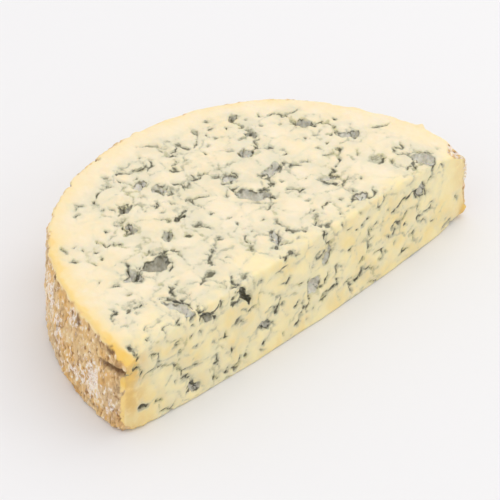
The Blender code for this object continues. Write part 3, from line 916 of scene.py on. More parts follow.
# %% Veins along the gaps
VEIN_CALM, VEIN_BREAK = 13.0, 4.0  # lumps of the two noises that widen and close the veins
WIDE_VEIN, THIN_VEIN = -0.15, -0.6  # half widths below and above, closed where negative
CROWD_WIDER, RIND_CLOSES, VEIN_MOST = 0.4, 2.0, 0.9

calm = fractal(points, VEIN_CALM, 21, 2)
breaks = fractal(points, VEIN_BREAK, 22, 2)
facing_down = ramp(-outward[:, 2], 0.4, 0.9)
half_width = 0.5 * calm + 0.6 * breaks + WIDE_VEIN
thin_width = 0.5 * breaks + THIN_VEIN + CROWD_WIDER * ramp(crowd, 1.0, 5.0)
half_width = half_width * facing_down + thin_width * (1 - facing_down)
half_width = half_width - RIND_CLOSES * ramp(inward, 9.0, 4.0)
gap_vein = np.clip(half_width, -FAR, VEIN_MOST) - gap
print("share under veins:", round(float((gap_vein > 0).mean()), 3))

# %% Tone of the mould
PALER_ABOVE, TONE_SPREAD = 0.3, 0.2
GAP_LINE = 0.25  # a gap's dark line is this much weaker than a stroke's
gap_tone = MID_TONE + PALER_ABOVE * (1 - facing_down) + TONE_SPREAD * fractal(points, 3.0, 24, 2)
vein = np.maximum(stroke, gap_vein)
tone = np.where(gap_vein > stroke, gap_tone, stroke_tone)
core = np.minimum(core, gap + GAP_LINE + 2 * np.maximum(-half_width, 0))
print("mean tone in the mould:", round(float(tone[vein > 0].mean()), 2))

# %% [markdown]
# ## Haze and yellow paste
#
# Round a cluster of veins the paste turns a little grey, and between clusters it stays clear. Where
# marks crowd there is haze, and a few soft patches add veils or clear fields that crowding alone
# misses. The top's paste is yellower along the cut and in fields behind it. All this could be
# painted on a picture. It is worked out from the marks here, so that it follows when one is moved.

# %% Haze and yellow paste
# a soft patch: its middle (on the wall: run and height), its size along both in mm, its strength
Patch = namedtuple("Patch", "across along length tall strength")
BUTTER_REACH = 3.6  # yellow paste along the cut's edge
HAZE_MOST, BUTTER_MOST = 1.1, 1.4
CROWD_SOME, CROWD_FULL = 1.0, 6.0  # crowding where haze starts and where it is full
VEILS = laid(
    Patch,
    (-42.0, 7.0, 10.0, 9.0, 0.8), (-53.0, 11.5, 9.0, 7.0, 0.5), (-24.0, -2.5, 8.0, 5.0, 0.4),
)
CLEARINGS = laid(
    Patch,
    (-20.0, 42.0, 15.0, 13.0, 0.6), (-1.0, 44.0, 14.0, 9.0, 0.6), (42.0, 30.0, 12.0, 18.0, 0.7),
    (28.0, 10.0, 8.0, 7.0, 0.5),
)
YELLOWS = laid(
    Patch,
    (-57.5, 0.0, 9.0, 7.0, 1.1), (-49.0, 2.5, 11.0, 8.0, 0.7), (-28.5, 0.5, 9.0, 6.0, 0.5),
    (-13.5, 2.0, 12.0, 7.0, 0.8), (0.5, -0.5, 9.0, 6.0, 0.8), (25.0, -0.5, 9.0, 6.0, 0.8),
)


def patches(across, along, rows):
    """The strongest of the patches at each point: strength times exp(-(share of its size)^2)."""
    total = np.zeros(len(across))
    for row in rows:
        share = ((across - row.across) / row.length * 2) ** 2
        share = share + ((along - row.along) / row.tall * 2) ** 2
        total = np.maximum(total, row.strength * np.exp(-share))
    return total


haze = ramp(crowd + 1.5 * fractal(points, 5.0, 31, 2), CROWD_SOME, CROWD_FULL)
haze = haze + patches(skin_x, skin_y, VEILS) - patches(skin_x, skin_y, CLEARINGS)
haze = np.clip(haze, 0, HAZE_MOST)
butter = fade(skin_y + CUT_OFFSET, BUTTER_REACH) * (1 + 0.6 * fractal(points, 10.0, 36))
butter = np.clip(butter + patches(skin_x, skin_y, YELLOWS), 0, BUTTER_MOST)
print("mean haze:", round(float(haze.mean()), 2))

# %% [markdown]
# ## The rind
#
# The rind is a dry crust of brown crumbs under patches of white bloom. The crumbs are real relief:
# coarse lumps, then crumbs about a millimetre wide. The same fold and nicks as in the solid run
# through it. The bloom lies in patches, thick where the picture shows white fields near the left
# corner, and scattered further round. Golden paste shows through its upper edge and where the knife
# smeared the left corner. At the right corner the rind broke off to a ledge, and a torn tab of paste
# stands out at its foot. A sculptor would dab all this on by hand. Here noise lays the crumbs evenly,
# and a few rows keep the places that the picture shows.

# %% Where the rind is
RIND_SHOWN = 0.35  # its thickness where it ends in a cut face
END_RIND = (0.5, 0.3)  # how much thicker it is at the left and the right corner
WALL_SURE = 1.5  # keeps noise from baring the wall
RIND_BLUR = 0.4  # half the width of its soft edge
RIM_FADE, RIM_REACH = 1.9, 1.5  # gold paste shows in patches through the rind's upper edge
radial = points[:, :2] / np.maximum(np.linalg.norm(points[:, :2], axis=1, keepdims=True), 1)
facing_out = (outward[:, :2] * radial).sum(axis=1)
on_wall = ramp(facing_out, 0.35, 0.8) * ramp(inward, 3.0, 1.0)
rind = RIND_SHOWN + 0.3 * lattice_noise(points, 3.2, 71) + 0.2 * lattice_noise(points, 1.1, 72)
rind = rind - inward + WALL_SURE * on_wall + near_corner(skin_x, skin_y, *END_RIND) * (inward < 3)
rim_share = fade(top_height(skin_x, skin_y) - skin_z, RIM_REACH)
rind = rind - RIM_FADE * on_wall * rim_share * (1 + 0.9 * lattice_noise(points, 3.0, 73))
wall = ramp(rind, -RIND_BLUR, RIND_BLUR)
print("share of rind:", round(float((rind > 0).mean()), 2))

# %% Bloom and stains on the wall
BLOOM = laid(
    Patch,
    (12.5, 10.0, 6.0, 11.0, 1.0), (21.0, 7.5, 11.0, 7.0, 0.9), (26.0, 21.0, 7.0, 6.0, 0.8),
    (34.0, 12.0, 6.0, 14.0, 0.7), (42.0, 16.0, 8.0, 16.0, 0.9), (4.0, 6.5, 5.0, 5.0, 0.6),
    (47.5, 16.5, 8.0, 9.0, 1.0), (56.0, 8.0, 11.0, 12.0, 1.1),
)
STAINS = laid(
    Patch,
    (6.9, 22.8, 3.4, 3.0, 1.2), (22.6, 22.4, 3.2, 3.4, 1.5), (2.5, 14.5, 5.0, 9.0, 0.5),
    (9.0, 17.5, 6.0, 3.5, 0.45), (26.8, 21.8, 2.6, 2.6, 0.8), (34.0, 12.0, 2.6, 5.0, 0.6),
    (13.0, 2.4, 14.0, 2.0, 0.5),
)

STREAK = (1.0, 1.0, 0.45)  # noise read at points squeezed like this has lumps drawn out upwards
BLOOM_SHARE, BLOOM_SPREAD = 0.95, 0.3
AROUND_SHARE, AROUND_FROM, AROUND_FULL = 0.6, 50.0, 75.0  # patches by noise, further round
streaks = points * STREAK
bloom = BLOOM_SHARE * patches(run, skin_z, BLOOM) + BLOOM_SPREAD * fractal(streaks, 6.0, 81)
around = AROUND_SHARE * ramp(fractal(streaks, 11.0, 83), 0.0, 0.5)
bloom = bloom + around * ramp(run, AROUND_FROM, AROUND_FULL)
stain_and_shade = patches(run, skin_z, STAINS)
print("mean bloom on the wall:", round(float(bloom[rind > 0].mean()), 2))

# %% The fold, the toe, the nicks and the crumbs
FOLD_START, FOLD_END, FOLD_SLOPE, FOLD_SPREAD = 19.4, 13.0, -0.13, 0.6
TOE_REACH, TOE_HEIGHT = 7.0, 4.0  # a crusty toe at the foot of the left corner
CRAG_FINE, CRUMB_HEIGHT, CRUMB_STEEP = 0.35, 0.5, 1.6  # heights in mm, and how soon crumbs are full
# nicks of the rim: degrees from +X, width and depth in mm
RIM_NICKS = ((112.5, 3.0, 1.8), (100.0, 2.2, 1.3), (33.5, 3.4, 1.4), (148.0, 2.6, 1.3))
NICK_FALL = 2.0  # how far down the wall they go
fold_height = FOLD_START + FOLD_SLOPE * run + 0.7 * lattice_noise(points, 3.5, 94)
fold = fade(skin_z - fold_height, FOLD_SPREAD) * ramp(run, FOLD_END, 4.0)
fold = fold * wall * ramp(run, -4.0, 0.0)
toe = fade(corner_gap(skin_x, skin_y, -1), TOE_REACH) * ramp(skin_z, TOE_HEIGHT, 1.0)
toe_lumps = lattice_noise(points, 2.0, 98)


def nick_balls():
    """Each nick as a stroke across the rim."""
    for degrees, width, depth in RIM_NICKS:
        angle = np.array([math.radians(degrees)])
        reach = wall_reach(angle, np.array([THICKNESS]), np.array([0.0]))
        x, y = reach * np.cos(angle), reach * np.sin(angle)
        yield on_top(Stroke(x[0], y[0], 2 * depth, width, degrees, 0.0), NICK_FALL)


nicks = list(nick_balls())
nick_field = mark_field(ragged, nicks)[0]
crags = CRAG_FINE * fractal(points, 3.4, 91)
crumb = np.abs(lattice_noise(points, 2.2, 92) + 0.4 * lattice_noise(points, 1.1, 93))
crumb = np.clip(CRUMB_STEEP * crumb, 0, 1)
crumbs = CRUMB_HEIGHT * crumb
print("deepest crag in mm:", round(float(-crags.min()), 2))

# %% The ledge, the tab, the smear and loose crumbs
LEDGE_REACH, LEDGE_BLUR, LEDGE_DROP = 5.0, 0.5, 0.9  # round the right corner
LEDGE_FLOOR, LEDGE_TOP = THICKNESS - 8, THICKNESS - 5
SMEAR_REACH = 2.1  # the knife smeared paste round the left corner
SMEAR_TOP, SMEAR_FULL = 20.0, 16.0  # it fades between these heights
LEDGE_RIND, TAB_RIND, SMEAR_RIND = 3.0, -3.0, -3.4  # more rind, or less where negative
LEDGE_BLOOM, TOE_CLEAN = 0.4, 0.95

# what stands out of the rim or of a corner: degrees from +X, height, reach and how far out in mm
Bump = namedtuple("Bump", "degrees height reach out")
CRUMBS = laid(Bump, (10.0, 25.0, 1.0, 1.3), (86.6, 25.0, 1.1, 0.6), (140.0, 24.6, 1.2, 0.5))
TAB = Bump(-3.0, 2.2, 1.9, 1.0)


def bump_share(bump):
    """1 at the bump's middle on the wall, fading as exp(-(distance/reach)^2)."""
    angle, height = np.array([math.radians(bump.degrees)]), np.array([bump.height])
    reach = wall_reach(angle, height, 1 - height / THICKNESS)
    middle = np.array([reach[0] * math.cos(angle[0]), reach[0] * math.sin(angle[0]), bump.height])
    return np.exp(-((points - middle) ** 2).sum(axis=1) / bump.reach**2)


right_gap = corner_gap(skin_x, skin_y, 1) + 0.7 * lattice_noise(points, 2.5, 99)
ledge = ramp(right_gap, LEDGE_REACH + LEDGE_BLUR, LEDGE_REACH - LEDGE_BLUR)
ledge = ledge * ramp(skin_z, LEDGE_FLOOR, LEDGE_TOP) * ramp(outward[:, 2], 0.2, 0.7)
tab = bump_share(TAB)
tip_line = side_sheet[::-1, 0]
tips = np.stack([np.interp(skin_z, tip_line[:, 2], tip_line[:, axis]) for axis in (0, 1)], axis=-1)
tip_gap = np.linalg.norm(points[:, :2] - tips, axis=1)
smeared = fade(tip_gap, SMEAR_REACH) * ramp(skin_z, SMEAR_TOP, SMEAR_FULL) * (1 - TOE_CLEAN * toe)
smeared = smeared * (1 + 0.9 * fractal(points, 2.0, 35))
rind = rind + LEDGE_RIND * ledge + TAB_RIND * tab + SMEAR_RIND * smeared
bloom = bloom + LEDGE_BLOOM * ledge
wall = ramp(rind, -RIND_BLUR, RIND_BLUR)
print("points on the ledge:", int((ledge > 0.5).sum()))

# %% [markdown]
# ## Carving
#
# An opening is carved as a real hollow: every point inside a ball moves inwards along its normal
# until it leaves the ball. The step where it starts is softened, because a grid can't hold a cliff.
# Strokes only dip a little. The paste is nearly flat, the rind is rough. At last the left corner is
# worn back, because a point so thin crumbles off.

# %% Depth of the hollows
SOFT_EDGE = 0.9


def carved(places, normals, marks):
    """How far each point travels to leave the balls: the larger root t of |q + t m| = 1.

    Here q is the point and m its way inwards, both measured in the ball's half sizes.
    """
    depth = np.zeros(len(places))
    for mark in marks:
        near = np.flatnonzero(((places - mark.place) ** 2).sum(axis=1) < mark.half.max() ** 2)
        q = (places[near] - mark.place) @ mark.axes / mark.half
        m = -normals[near] @ mark.axes / mark.half
        a, b, c = (m * m).sum(axis=1), (q * m).sum(axis=1), (q * q).sum(axis=1) - 1
        travel = (-b + np.sqrt(np.maximum(b * b - a * c, 0))) / a
        soft = ramp(-c, 0, SOFT_EDGE)
        depth[near] = np.maximum(depth[near], np.where(c < 0, travel * soft, 0))
    return depth


pit = carved(ragged, outward, openings + nicks)
print("points in the hollows:", int((pit > 0).sum()))

# %% Depth of the rest
STROKE_DIP, CORE_DIP, VEIN_DIP = 0.2, 0.35, 0.3
WAVE_LOW, GRAIN_LOW, FLOOR_ROUGH = 0.16, 0.07, 0.3
RIND_SUNK, BLOOM_THICK, FOLD_DEPTH, TOE_ROUGH = 0.15, 0.15, 1.2, 0.7

dip = STROKE_DIP * ramp(stroke, -1.6, 0.2) + CORE_DIP * ramp(core, 0.8, 0.1)
dip = dip + VEIN_DIP * ramp(gap_vein, -0.5, 0.6)
paste_waves = WAVE_LOW * fractal(points, 5.5, 95) + GRAIN_LOW * lattice_noise(points, 1.5, 96)
rough = FLOOR_ROUGH * fractal(points, 1.4, 97, 2) * ramp(hollow, -0.1, 0.5)
sunk = pit + dip + rough * (pit > 0) + paste_waves * (1 - wall)
sunk = sunk + wall * (RIND_SUNK - crags - crumbs - BLOOM_THICK * ramp(bloom, 0.2, 0.8))
sunk = sunk + FOLD_DEPTH * fold
sunk = sunk - toe * TOE_ROUGH * np.abs(toe_lumps) + LEDGE_DROP * ledge
sunk = sunk - sum(bump.out * bump_share(bump) for bump in (*CRUMBS, TAB))
print("deepest point in mm:", round(float(sunk.max()), 2))

# %% Move the skin
BLUNT_HIGH, BLUNT_LOW, BLUNT_REACH = 0.5, 1.6, 2.6  # the left corner, most at its foot
BLUNT_FROM, BLUNT_FULL = 16.0, 2.0  # heights
DIAGONAL = math.sqrt(0.5)  # of each of X and Y, for a way straight into the corner

resting = ramp(skin_z, 0.0, 0.6)
moved = points - outward * sunk[:, None] * np.maximum(resting, facing_down * (sunk > 0))[:, None]
moved[:, 2] = np.maximum(moved[:, 2], 0)
blunt = BLUNT_HIGH + (BLUNT_LOW - BLUNT_HIGH) * ramp(skin_z, BLUNT_FROM, BLUNT_FULL)
moved[:, :2] += (blunt * fade(tip_gap, BLUNT_REACH, 1))[:, None] * DIAGONAL
skin.vertices.foreach_set("co", to_frame(moved).astype(np.float32).ravel())
skin.update()
skin.shade_smooth()
print("carved skin sides in mm:", np.round(np.ptp(moved, axis=0), 1))

# %% [markdown]
# ## What the finish reads
#
# The finish needs to know where the mould, the haze, the gold and the rind are. Each is stored on the
# points as a number that changes smoothly, and the material cuts it to a sharp edge with fine noise,
# so the edges are finer than the mesh. A second map lays the skin out flat.

# %% Store the fields on the points
GOLD_REACH, GOLD_MOST = 4.4, 0.72
GOLD_LEFT, GOLD_REST = 0.95, 0.45
TIP_GOLD, TIP_POWER, TIP_FOOT, TIP_TOP = 1.2, 1.7, 14.0, 21.0  # the left corner's upper end
TIP_PALER, PALE_TOP, PALE_FULL = 0.5, 10.0, 4.0  # its lower end on the cut face
DRY_SHARE, TAB_GOLD, TOE_GOLD, TOE_RIND = 0.7, 1.2, 0.2, 0.9
FOLD_SHADE, FOLD_DEEP_SHADE, TOE_STAIN = 0.5, 0.45, 0.4  # the fold's wide band and the dark line in it, both painted shade in the crease, and the toe's stain
gold_strength = GOLD_REST + (GOLD_LEFT - GOLD_REST) * ramp(run, 85.0, 30.0)
gold_reach = GOLD_REACH * (1 + 0.5 * fractal(points, 7.0, 34, 2))
gold_reach = gold_reach * (1 + 0.35 * ramp(-outward[:, 1], 0.3, 0.8))
gold = gold_strength * fade(np.maximum(inward, 0), gold_reach, 1.3)
gold = np.minimum(gold * (1 + 0.4 * fractal(points, 4.0, 33)), GOLD_MOST)
tip_share = near_corner(skin_x, skin_y, 1.0, 0.0)
gold = gold + TIP_GOLD * tip_share**TIP_POWER * ramp(skin_z, TIP_FOOT, TIP_TOP) + TOE_GOLD * toe
gold = gold * (1 - TIP_PALER * (1 - on_wall) * tip_share * ramp(skin_z, PALE_TOP, PALE_FULL))
dry = on_wall * ramp(smeared, 0.6, 0.2) * (1 - rim_share)
gold = np.clip(gold * (1 - DRY_SHARE * dry) + TAB_GOLD * tab, 0, 1)
# cut_side marks the cut face. There the finish presses its noise flat, leaves out the top's painted
# sheen and darkens the gold as painted shade.
cut_side = ramp(-outward[:, 1], 0.3, 0.8) * (1 - ramp(inward, 1.0, -0.5))
# To the real stains the fold adds painted shade in its crease.
stain_and_shade = stain_and_shade + FOLD_SHADE * fold**0.3 + FOLD_DEEP_SHADE * fold
stain_and_shade = stain_and_shade + TOE_STAIN * toe * ramp(toe_lumps, 0.15, -0.15)
# The nicks are painted dark as well.
stain_and_shade = np.clip(stain_and_shade + ramp(nick_field, -0.3, 0.3), 0, 1)
rind = rind + TOE_RIND * toe

fields = {"vein": vein, "tone": tone, "core": core, "hollow": hollow, "floor_tone": hollow_tone}
fields |= {"haze": haze, "gold": gold, "butter": butter, "cut_side": cut_side}
fields |= {"rind": rind, "bloom": bloom, "crumb": crumb, "stain_and_shade": stain_and_shade}
for name, values in fields.items():
    layer = skin.attributes.new(name, "FLOAT", "POINT")
    layer.data.foreach_set("value", values.astype(np.float32))
print("fields:", list(fields))

# %% Lay the skin out flat
SHEET = 195.0  # side of the flat sheet in mm
MARGIN = 2.0
HALF_DISC = 72.0  # room for the top, and for the underside, away from the cut
STRIP = 29.0  # room for a strip of the side


def side_lengths():
    """Run round the middle ring and fall down the rings, as sums of the steps between points."""
    middle = side_sheet[RINGS // 2]
    steps = np.linalg.norm(np.roll(middle, -1, axis=0) - middle, axis=1)
    down = np.concatenate([top_sheet[rings[0]][None], side_sheet])
    falls = np.linalg.norm(np.diff(down, axis=0), axis=2).mean(axis=1)
    return np.concatenate([[0], np.cumsum(steps)]), np.concatenate([[0], np.cumsum(falls)])


def flat_places():
    """Flat millimetres for each face corner: top and underside from above, the side in strips."""
    along, fall = side_lengths()
    n = 2 * TOP_CELLS
    column = np.tile(np.arange(AROUND), RINGS)
    row = np.repeat(np.arange(RINGS), AROUND)
    columns = np.stack([column, column + 1, column + 1, column], axis=-1)
    rows = np.stack([row + 1, row + 1, row, row], axis=-1)
    s, t = along[columns], fall[-1] - fall[rows]
    half = (n + AROUND) // 2
    first, second = (column >= n) & (column < half), column >= half
    middle = WHEEL_RADIUS + MARGIN
    x, y = s + MARGIN, t + 2 * HALF_DISC + MARGIN
    start = middle * 2 + MARGIN
    x[first], y[first] = t[first] + start, s[first] - along[n] + MARGIN
    x[second], y[second] = t[second] + start + STRIP, s[second] - along[half] + MARGIN
    side = np.stack([x, y], axis=-1).reshape(-1, 2)
    top = top_sheet[top_quads.ravel()][:, :2] + (middle, CUT_OFFSET + 1 + MARGIN)
    under = points[np.concatenate([under_quads.ravel(), under_joins.ravel()])][:, :2]
    under = under + (middle, HALF_DISC + CUT_OFFSET + CUT_SAG + MARGIN)
    return np.concatenate([top, side, under])


flat_map = flat_places() / SHEET
layer = skin.uv_layers.new(name="OFBake")
layer.uv.foreach_set("vector", flat_map.astype(np.float32).ravel())
print("flat map from", flat_map.min(axis=0).round(3), "to", flat_map.max(axis=0).round(3))

# %% [markdown]
# ## The finish
#
# Cheese is one material with many colours. It could be painted by hand on a picture, but a chain of
# mixes keeps every patch editable: cream, gold towards the rind, haze, halo and mould, and last the
# rind over all. Light enters the paste, so a little of it scatters below the surface.

# %% Sockets, fields and noise
finish = bpy.data.materials.new("blue_cheese")
finish.use_nodes = True
tree = finish.node_tree
shader = tree.nodes["Principled BSDF"]
place = tree.nodes.new("ShaderNodeTexCoord").outputs["Object"]


def plug(socket, value):
    """Joins a socket to another, or sets it to a number or a colour."""
    if isinstance(value, bpy.types.NodeSocket):
        tree.links.new(value, socket)
    else:
        socket.default_value = value


def field(name):
    """The values that the mesh keeps at its points under this name."""
    node = tree.nodes.new("ShaderNodeAttribute")
    node.attribute_name = name
    return node.outputs["Fac"]


def noise(size, detail=2.0, seed=0.0, squeeze=(1, 1, 1)):
    """Noise from 0 to 1 with lumps of about size mm, shifted by seed and squeezed along each axis."""
    shift = tree.nodes.new("ShaderNodeMapping")
    plug(shift.inputs["Vector"], place)
    shift.inputs["Location"].default_value = (seed, seed, seed)
    shift.inputs["Scale"].default_value = squeeze
    node = tree.nodes.new("ShaderNodeTexNoise")
    plug(node.inputs["Vector"], shift.outputs["Vector"])
    node.inputs["Scale"].default_value = 1 / (size * MM)
    node.inputs["Detail"].default_value = detail
    return node.outputs["Fac"]


print("nodes to start with:", len(tree.nodes))

# %% Sums, steps and mixes
PRESSED = (0.62, 1.0, 1.5)  # how much finer the cut face's lumps are along each axis


def calc(operation, a, b=0.0, c=0.0):
    """One operation on up to three numbers or sockets, by its name in Blender."""
    node = tree.nodes.new("ShaderNodeMath")
    node.operation = operation
    for socket, value in zip(node.inputs, (a, b, c)):
        plug(socket, value)
    return node.outputs[0]


KINDS = ("ADD", "SUBTRACT", "MULTIPLY", "MAXIMUM")
plus, minus, times, larger = (functools.partial(calc, kind) for kind in KINDS)


def swing(value, amount):
    """A value from 0 to 1 spread out from -amount to amount."""
    return calc("MULTIPLY_ADD", value, 2 * amount, -amount)


def step(value, low, high, top=1.0):
    """A smooth step of value from 0 at low to top at high."""
    node = tree.nodes.new("ShaderNodeMapRange")
    node.interpolation_type = "SMOOTHSTEP"
    for name, number in (("Value", value), ("From Min", low), ("From Max", high), ("To Max", top)):
        plug(node.inputs[name], number)
    return node.outputs[0]


def mix(share, a, b):
    """Colour a where share is 0 and b where it is 1."""
    node = tree.nodes.new("ShaderNodeMix")
    node.data_type = "RGBA"
    for index, value in ((0, share), (6, a), (7, b)):
        plug(node.inputs[index], value)
    return node.outputs[2]


def blend(share, a, b):
    """The same for two numbers."""
    node = tree.nodes.new("ShaderNodeMix")
    for index, value in ((0, share), (2, a), (3, b)):
        plug(node.inputs[index], value)
    return node.outputs[0]


def curd_noise(size, detail=2.0, seed=0.0):
    """Even noise on top, flattened lumps on the cut face, where the curds were pressed flat."""
    return blend(field("cut_side"), noise(size, detail, seed), noise(size, detail, seed, PRESSED))


print("kinds of sum:", KINDS)

# %% Cream, gold and haze
# The top's creams are paler and bluer than the cut face's: a painted sheen for the sky's reflection on
# the top. The cut face's creams show the same paste without it.
SHEEN_CREAM, SHEEN_WARM_CREAM, MILKY = paint(244, 229, 197), paint(244, 226, 187), paint(243, 231, 207)
CUT_CREAM, CUT_WARM = paint(244, 229, 177), paint(241, 219, 156)
GOLD, DEEP_GOLD = paint(245, 219, 156), paint(243, 200, 92)
# The cut face's golds are the top's golds made darker: painted shade.
SHADED_CUT_GOLD, SHADED_CUT_DEEP = paint(224, 190, 124), paint(226, 184, 96)
HAZE, BUTTER = paint(218, 213, 187), paint(250, 230, 168)

warmth = step(noise(9.0, 2.0, 0.1), 0.4, 0.65)
top_paste_with_sheen = mix(warmth, SHEEN_CREAM, SHEEN_WARM_CREAM)
top_paste_with_sheen = mix(step(noise(2.2, 3.0, 0.3), 0.5, 0.75, 0.5), top_paste_with_sheen, MILKY)
top_paste_with_sheen = mix(times(field("butter"), 0.6), top_paste_with_sheen, BUTTER)
# On the cut face the plain cut creams take the place of the top's paste with its painted sheen.
paste = mix(field("cut_side"), top_paste_with_sheen, mix(warmth, CUT_CREAM, CUT_WARM))
deep = step(field("gold"), 0.5, 1.0)
golden = mix(deep, GOLD, DEEP_GOLD)
# Painted shade: on the cut face, where noise lets it, the gold turns to its darker copies.
cut_gold_shade = times(field("cut_side"), step(noise(2.4, 3.0, 0.2), 0.2, 0.55))
golden = mix(cut_gold_shade, golden, mix(deep, SHADED_CUT_GOLD, SHADED_CUT_DEEP))
gold_share = times(field("gold"), blend(noise(4.0), 0.75, 1.25))
paste = mix(step(gold_share, 0.0, 0.8, 0.95), paste, golden)
haze_share = times(field("haze"), step(noise(4.5, 3.0, 0.9), 0.25, 0.7))
bare = blend(deep, 1.0, 0.3)
haze_share = times(haze_share, bare)
paste = mix(times(haze_share, blend(field("cut_side"), 0.6, 0.4)), paste, HAZE)
print("nodes with the paste:", len(tree.nodes))

# %% Colours and edges of the mould
HALO, SMEAR, OLIVE = paint(216, 211, 182), paint(180, 178, 152), paint(190, 183, 132)
# stops of a blend of colours: where it stands, then red, green and blue
BODY = ((0.0, 108, 106, 88), (0.4, 158, 154, 128), (1.0, 206, 201, 174))
THREAD = ((0.0, 28, 27, 20), (0.3, 56, 54, 40), (0.6, 100, 96, 76), (1.0, 156, 151, 124))
FLOOR = ((0.0, 98, 95, 76), (0.4, 168, 164, 145), (1.0, 228, 224, 210))


def tones(stops, value):
    """A colour for each value from 0 to 1, blended between the stops."""
    node = tree.nodes.new("ShaderNodeValToRGB")
    elements = node.color_ramp.elements
    while len(elements) < len(stops):
        elements.new(0.5)
    for element, (position, *colour) in zip(elements, stops):
        element.position = position
        element.color = paint(*colour)
    plug(node.inputs["Fac"], value)
    return node.outputs["Color"]


def shaken(value, size, amount, seed):
    """A value plus noise of that size, from about -amount/2 to amount/2."""
    return plus(value, swing(curd_noise(size, 4.0, seed), amount))


def lines(size, width, seed):
    """Thin wandering lines where noise crosses its middle."""
    away = calc("ABSOLUTE", minus(curd_noise(size, 2.0, seed), 0.5))
    return step(away, width, 0.25 * width)


nearest = larger(field("vein"), field("hollow"))
edge = minus(shaken(field("vein"), 0.95, 0.7, 0.2), blend(field("cut_side"), 0.14, 0.28))
floor_edge = shaken(field("hollow"), 1.4, 0.4, 0.7)
cloud = shaken(nearest, 3.2, 1.6, 0.6)
mottled = shaken(shaken(field("tone"), 1.8, 0.3, 0.5), 0.6, 0.4, 0.75)
print("nodes with the edges:", len(tree.nodes))

# %% Mould over the paste
paste = mix(times(step(cloud, -1.7, -0.1, 0.42), bare), paste, HALO)
smear = mix(step(noise(6.0, 2.0, 0.95), 0.5, 0.66), SMEAR, OLIVE)
paste = mix(step(shaken(nearest, 1.3, 1.1, 0.15), -0.6, 0.1, 0.65), paste, smear)
# Painted shade in the openings: a floor's tone is raised towards the middle of its hollow, so it stays
# darker near the walls.
floor_shade_lift = step(shaken(field("hollow"), 0.9, 0.5, 0.5), 0.1, 1.3, 0.5)
floor_tone = plus(field("floor_tone"), minus(floor_shade_lift, 0.12))
floor_tone = shaken(floor_tone, 1.2, 0.5, 0.45)
# A broken dark line round each opening: mould that grows at the rim, and partly painted shade where the
# paste drops into the hollow.
rim_mould_and_shade = times(step(floor_edge, -0.1, 0.08), step(floor_edge, 0.42, 0.2))
rim_mould_and_shade = times(rim_mould_and_shade, step(curd_noise(2.6, 2.0, 0.85), 0.42, 0.54, 0.75))
paste = mix(step(floor_edge, -0.1, 0.35), paste, tones(FLOOR, floor_tone))
paste = mix(rim_mould_and_shade, paste, tones(THREAD, times(floor_tone, 0.6)))
paste = mix(step(edge, -0.2, 0.2, 0.75), paste, tones(BODY, mottled))
feathers = times(lines(1.5, 0.05, 0.4), step(edge, -0.6, 0.15))
core_line = step(shaken(field("core"), 0.8, 0.25, 0.65), 0.4, 0.19)
core_line = times(core_line, step(curd_noise(2.1, 2.0, 0.35), 0.34, 0.5))
thread_share = larger(times(feathers, 0.8), core_line)
thread_tone = minus(mottled, blend(field("cut_side"), -0.12, 0.16))
paste = mix(times(thread_share, 0.85), paste, tones(THREAD, thread_tone))
mould_share = step(larger(edge, floor_edge), -0.3, 0.2)
print("nodes with the mould:", len(tree.nodes))

# %% Rind
TAN, OCHRE, BROWN = paint(226, 192, 141), paint(228, 182, 114), paint(144, 98, 52)
PALE_AND_LIT_CRUMB, DULL = paint(241, 214, 166), paint(206, 178, 142)
STREAKY = (1, 1, 0.5)
BLOOM_WHITE, STAIN_AND_SHADE_BROWN = paint(252, 242, 232), paint(112, 78, 48)

crust = mix(step(noise(7.0, 3.0, 0.4), 0.42, 0.62), TAN, OCHRE)
crust = mix(step(noise(13.0, 3.0, 0.7), 0.45, 0.62, 0.6), crust, DULL)
# The grain leans on the crumb relief: crumb tops are painted paler and the gaps between them browner,
# painted light and shade over a random grain.
grain_and_crumb_light = swing(noise(1.2, 3.0, 0.6, STREAKY), 0.8)
grain_and_crumb_light = plus(grain_and_crumb_light, calc("MULTIPLY_ADD", field("crumb"), 0.5, -0.2))
crust = mix(step(grain_and_crumb_light, 0.05, 0.4, 0.7), crust, PALE_AND_LIT_CRUMB)
crust = mix(step(grain_and_crumb_light, -0.08, -0.4, 0.75), crust, BROWN)
crust = mix(step(noise(3.6, 5.0, 0.55, STREAKY), 0.52, 0.72, 0.6), crust, BROWN)
white = swing(noise(0.9, 4.0, 0.8, STREAKY), 1.7)
white = plus(white, calc("MULTIPLY_ADD", field("crumb"), 0.4, -0.15))
white_share = step(plus(field("bloom"), white), 0.3, 0.85, 0.95)
patchy = step(noise(0.45, 3.0, 0.35), 0.38, 0.6, 0.55)
white_share = times(white_share, plus(patchy, 0.45))
crust = mix(white_share, crust, BLOOM_WHITE)
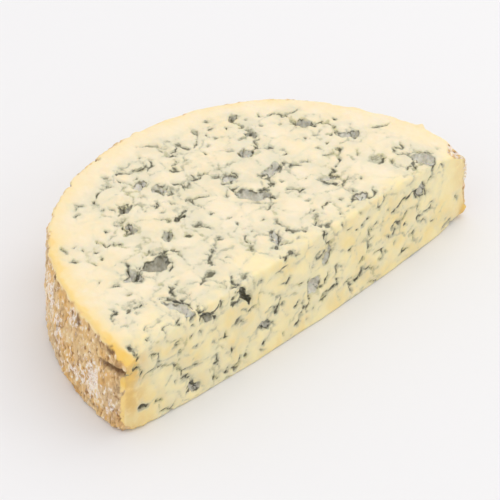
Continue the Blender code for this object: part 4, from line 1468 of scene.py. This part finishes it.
stain_and_shade_share = step(plus(field("stain_and_shade"), swing(noise(1.0), 0.4)), 0.2, 1.0, 0.85)
# Brown where the rind is stained, and as painted shade in the fold's crease.
crust = mix(stain_and_shade_share, crust, STAIN_AND_SHADE_BROWN)
rind_edge = plus(field("rind"), swing(noise(1.3, 4.0, 0.25), 0.9))
rind_share = step(rind_edge, -0.5, 0.4)
surface = mix(rind_share, paste, crust)
plug(shader.inputs["Base Color"], surface)
print("nodes with the rind:", len(tree.nodes))

# %% Gloss, softness and grain
PASTE_ROUGH, MOULD_ROUGH, RIND_ROUGH = 0.48, 0.75, 0.85
SOFT_SHARE, SOFT_REACH = 0.35, 1.4  # light that enters the paste, and how far in mm
SOFT_RED, SOFT_GREEN, SOFT_BLUE = 1.0, 0.7, 0.35  # shares of that reach
GRAIN_STRENGTH, GRAIN_HEIGHT = 0.5, 0.4
roughness = blend(mould_share, PASTE_ROUGH, MOULD_ROUGH)
plug(shader.inputs["Roughness"], blend(rind_share, roughness, RIND_ROUGH))
shader.inputs["IOR"].default_value = 1.4
shader.inputs["Subsurface Weight"].default_value = SOFT_SHARE
shader.inputs["Subsurface Radius"].default_value = (SOFT_RED, SOFT_GREEN, SOFT_BLUE)
shader.inputs["Subsurface Scale"].default_value = SOFT_REACH * MM

paste_grain = times(noise(1.0, 4.0, 0.1), 0.5)
rind_grain = times(noise(0.8, 5.0, 0.6), 3.0)
bump = tree.nodes.new("ShaderNodeBump")
bump.inputs["Strength"].default_value = GRAIN_STRENGTH
bump.inputs["Distance"].default_value = GRAIN_HEIGHT * MM
plug(bump.inputs["Height"], blend(rind_share, paste_grain, rind_grain))
plug(shader.inputs["Normal"], bump.outputs["Normal"])
skin.materials.append(finish)
print("nodes in all:", len(tree.nodes))

# %% [markdown]
# ## Into the frame
#
# The new skin stands for the solid, which is hidden, and rides on its body.

# %% Attach the skin
cheese = bpy.data.objects.new("blue_cheese", skin)
bpy.context.scene.collection.objects.link(cheese)
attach(cheese, "root")
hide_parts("cheese")
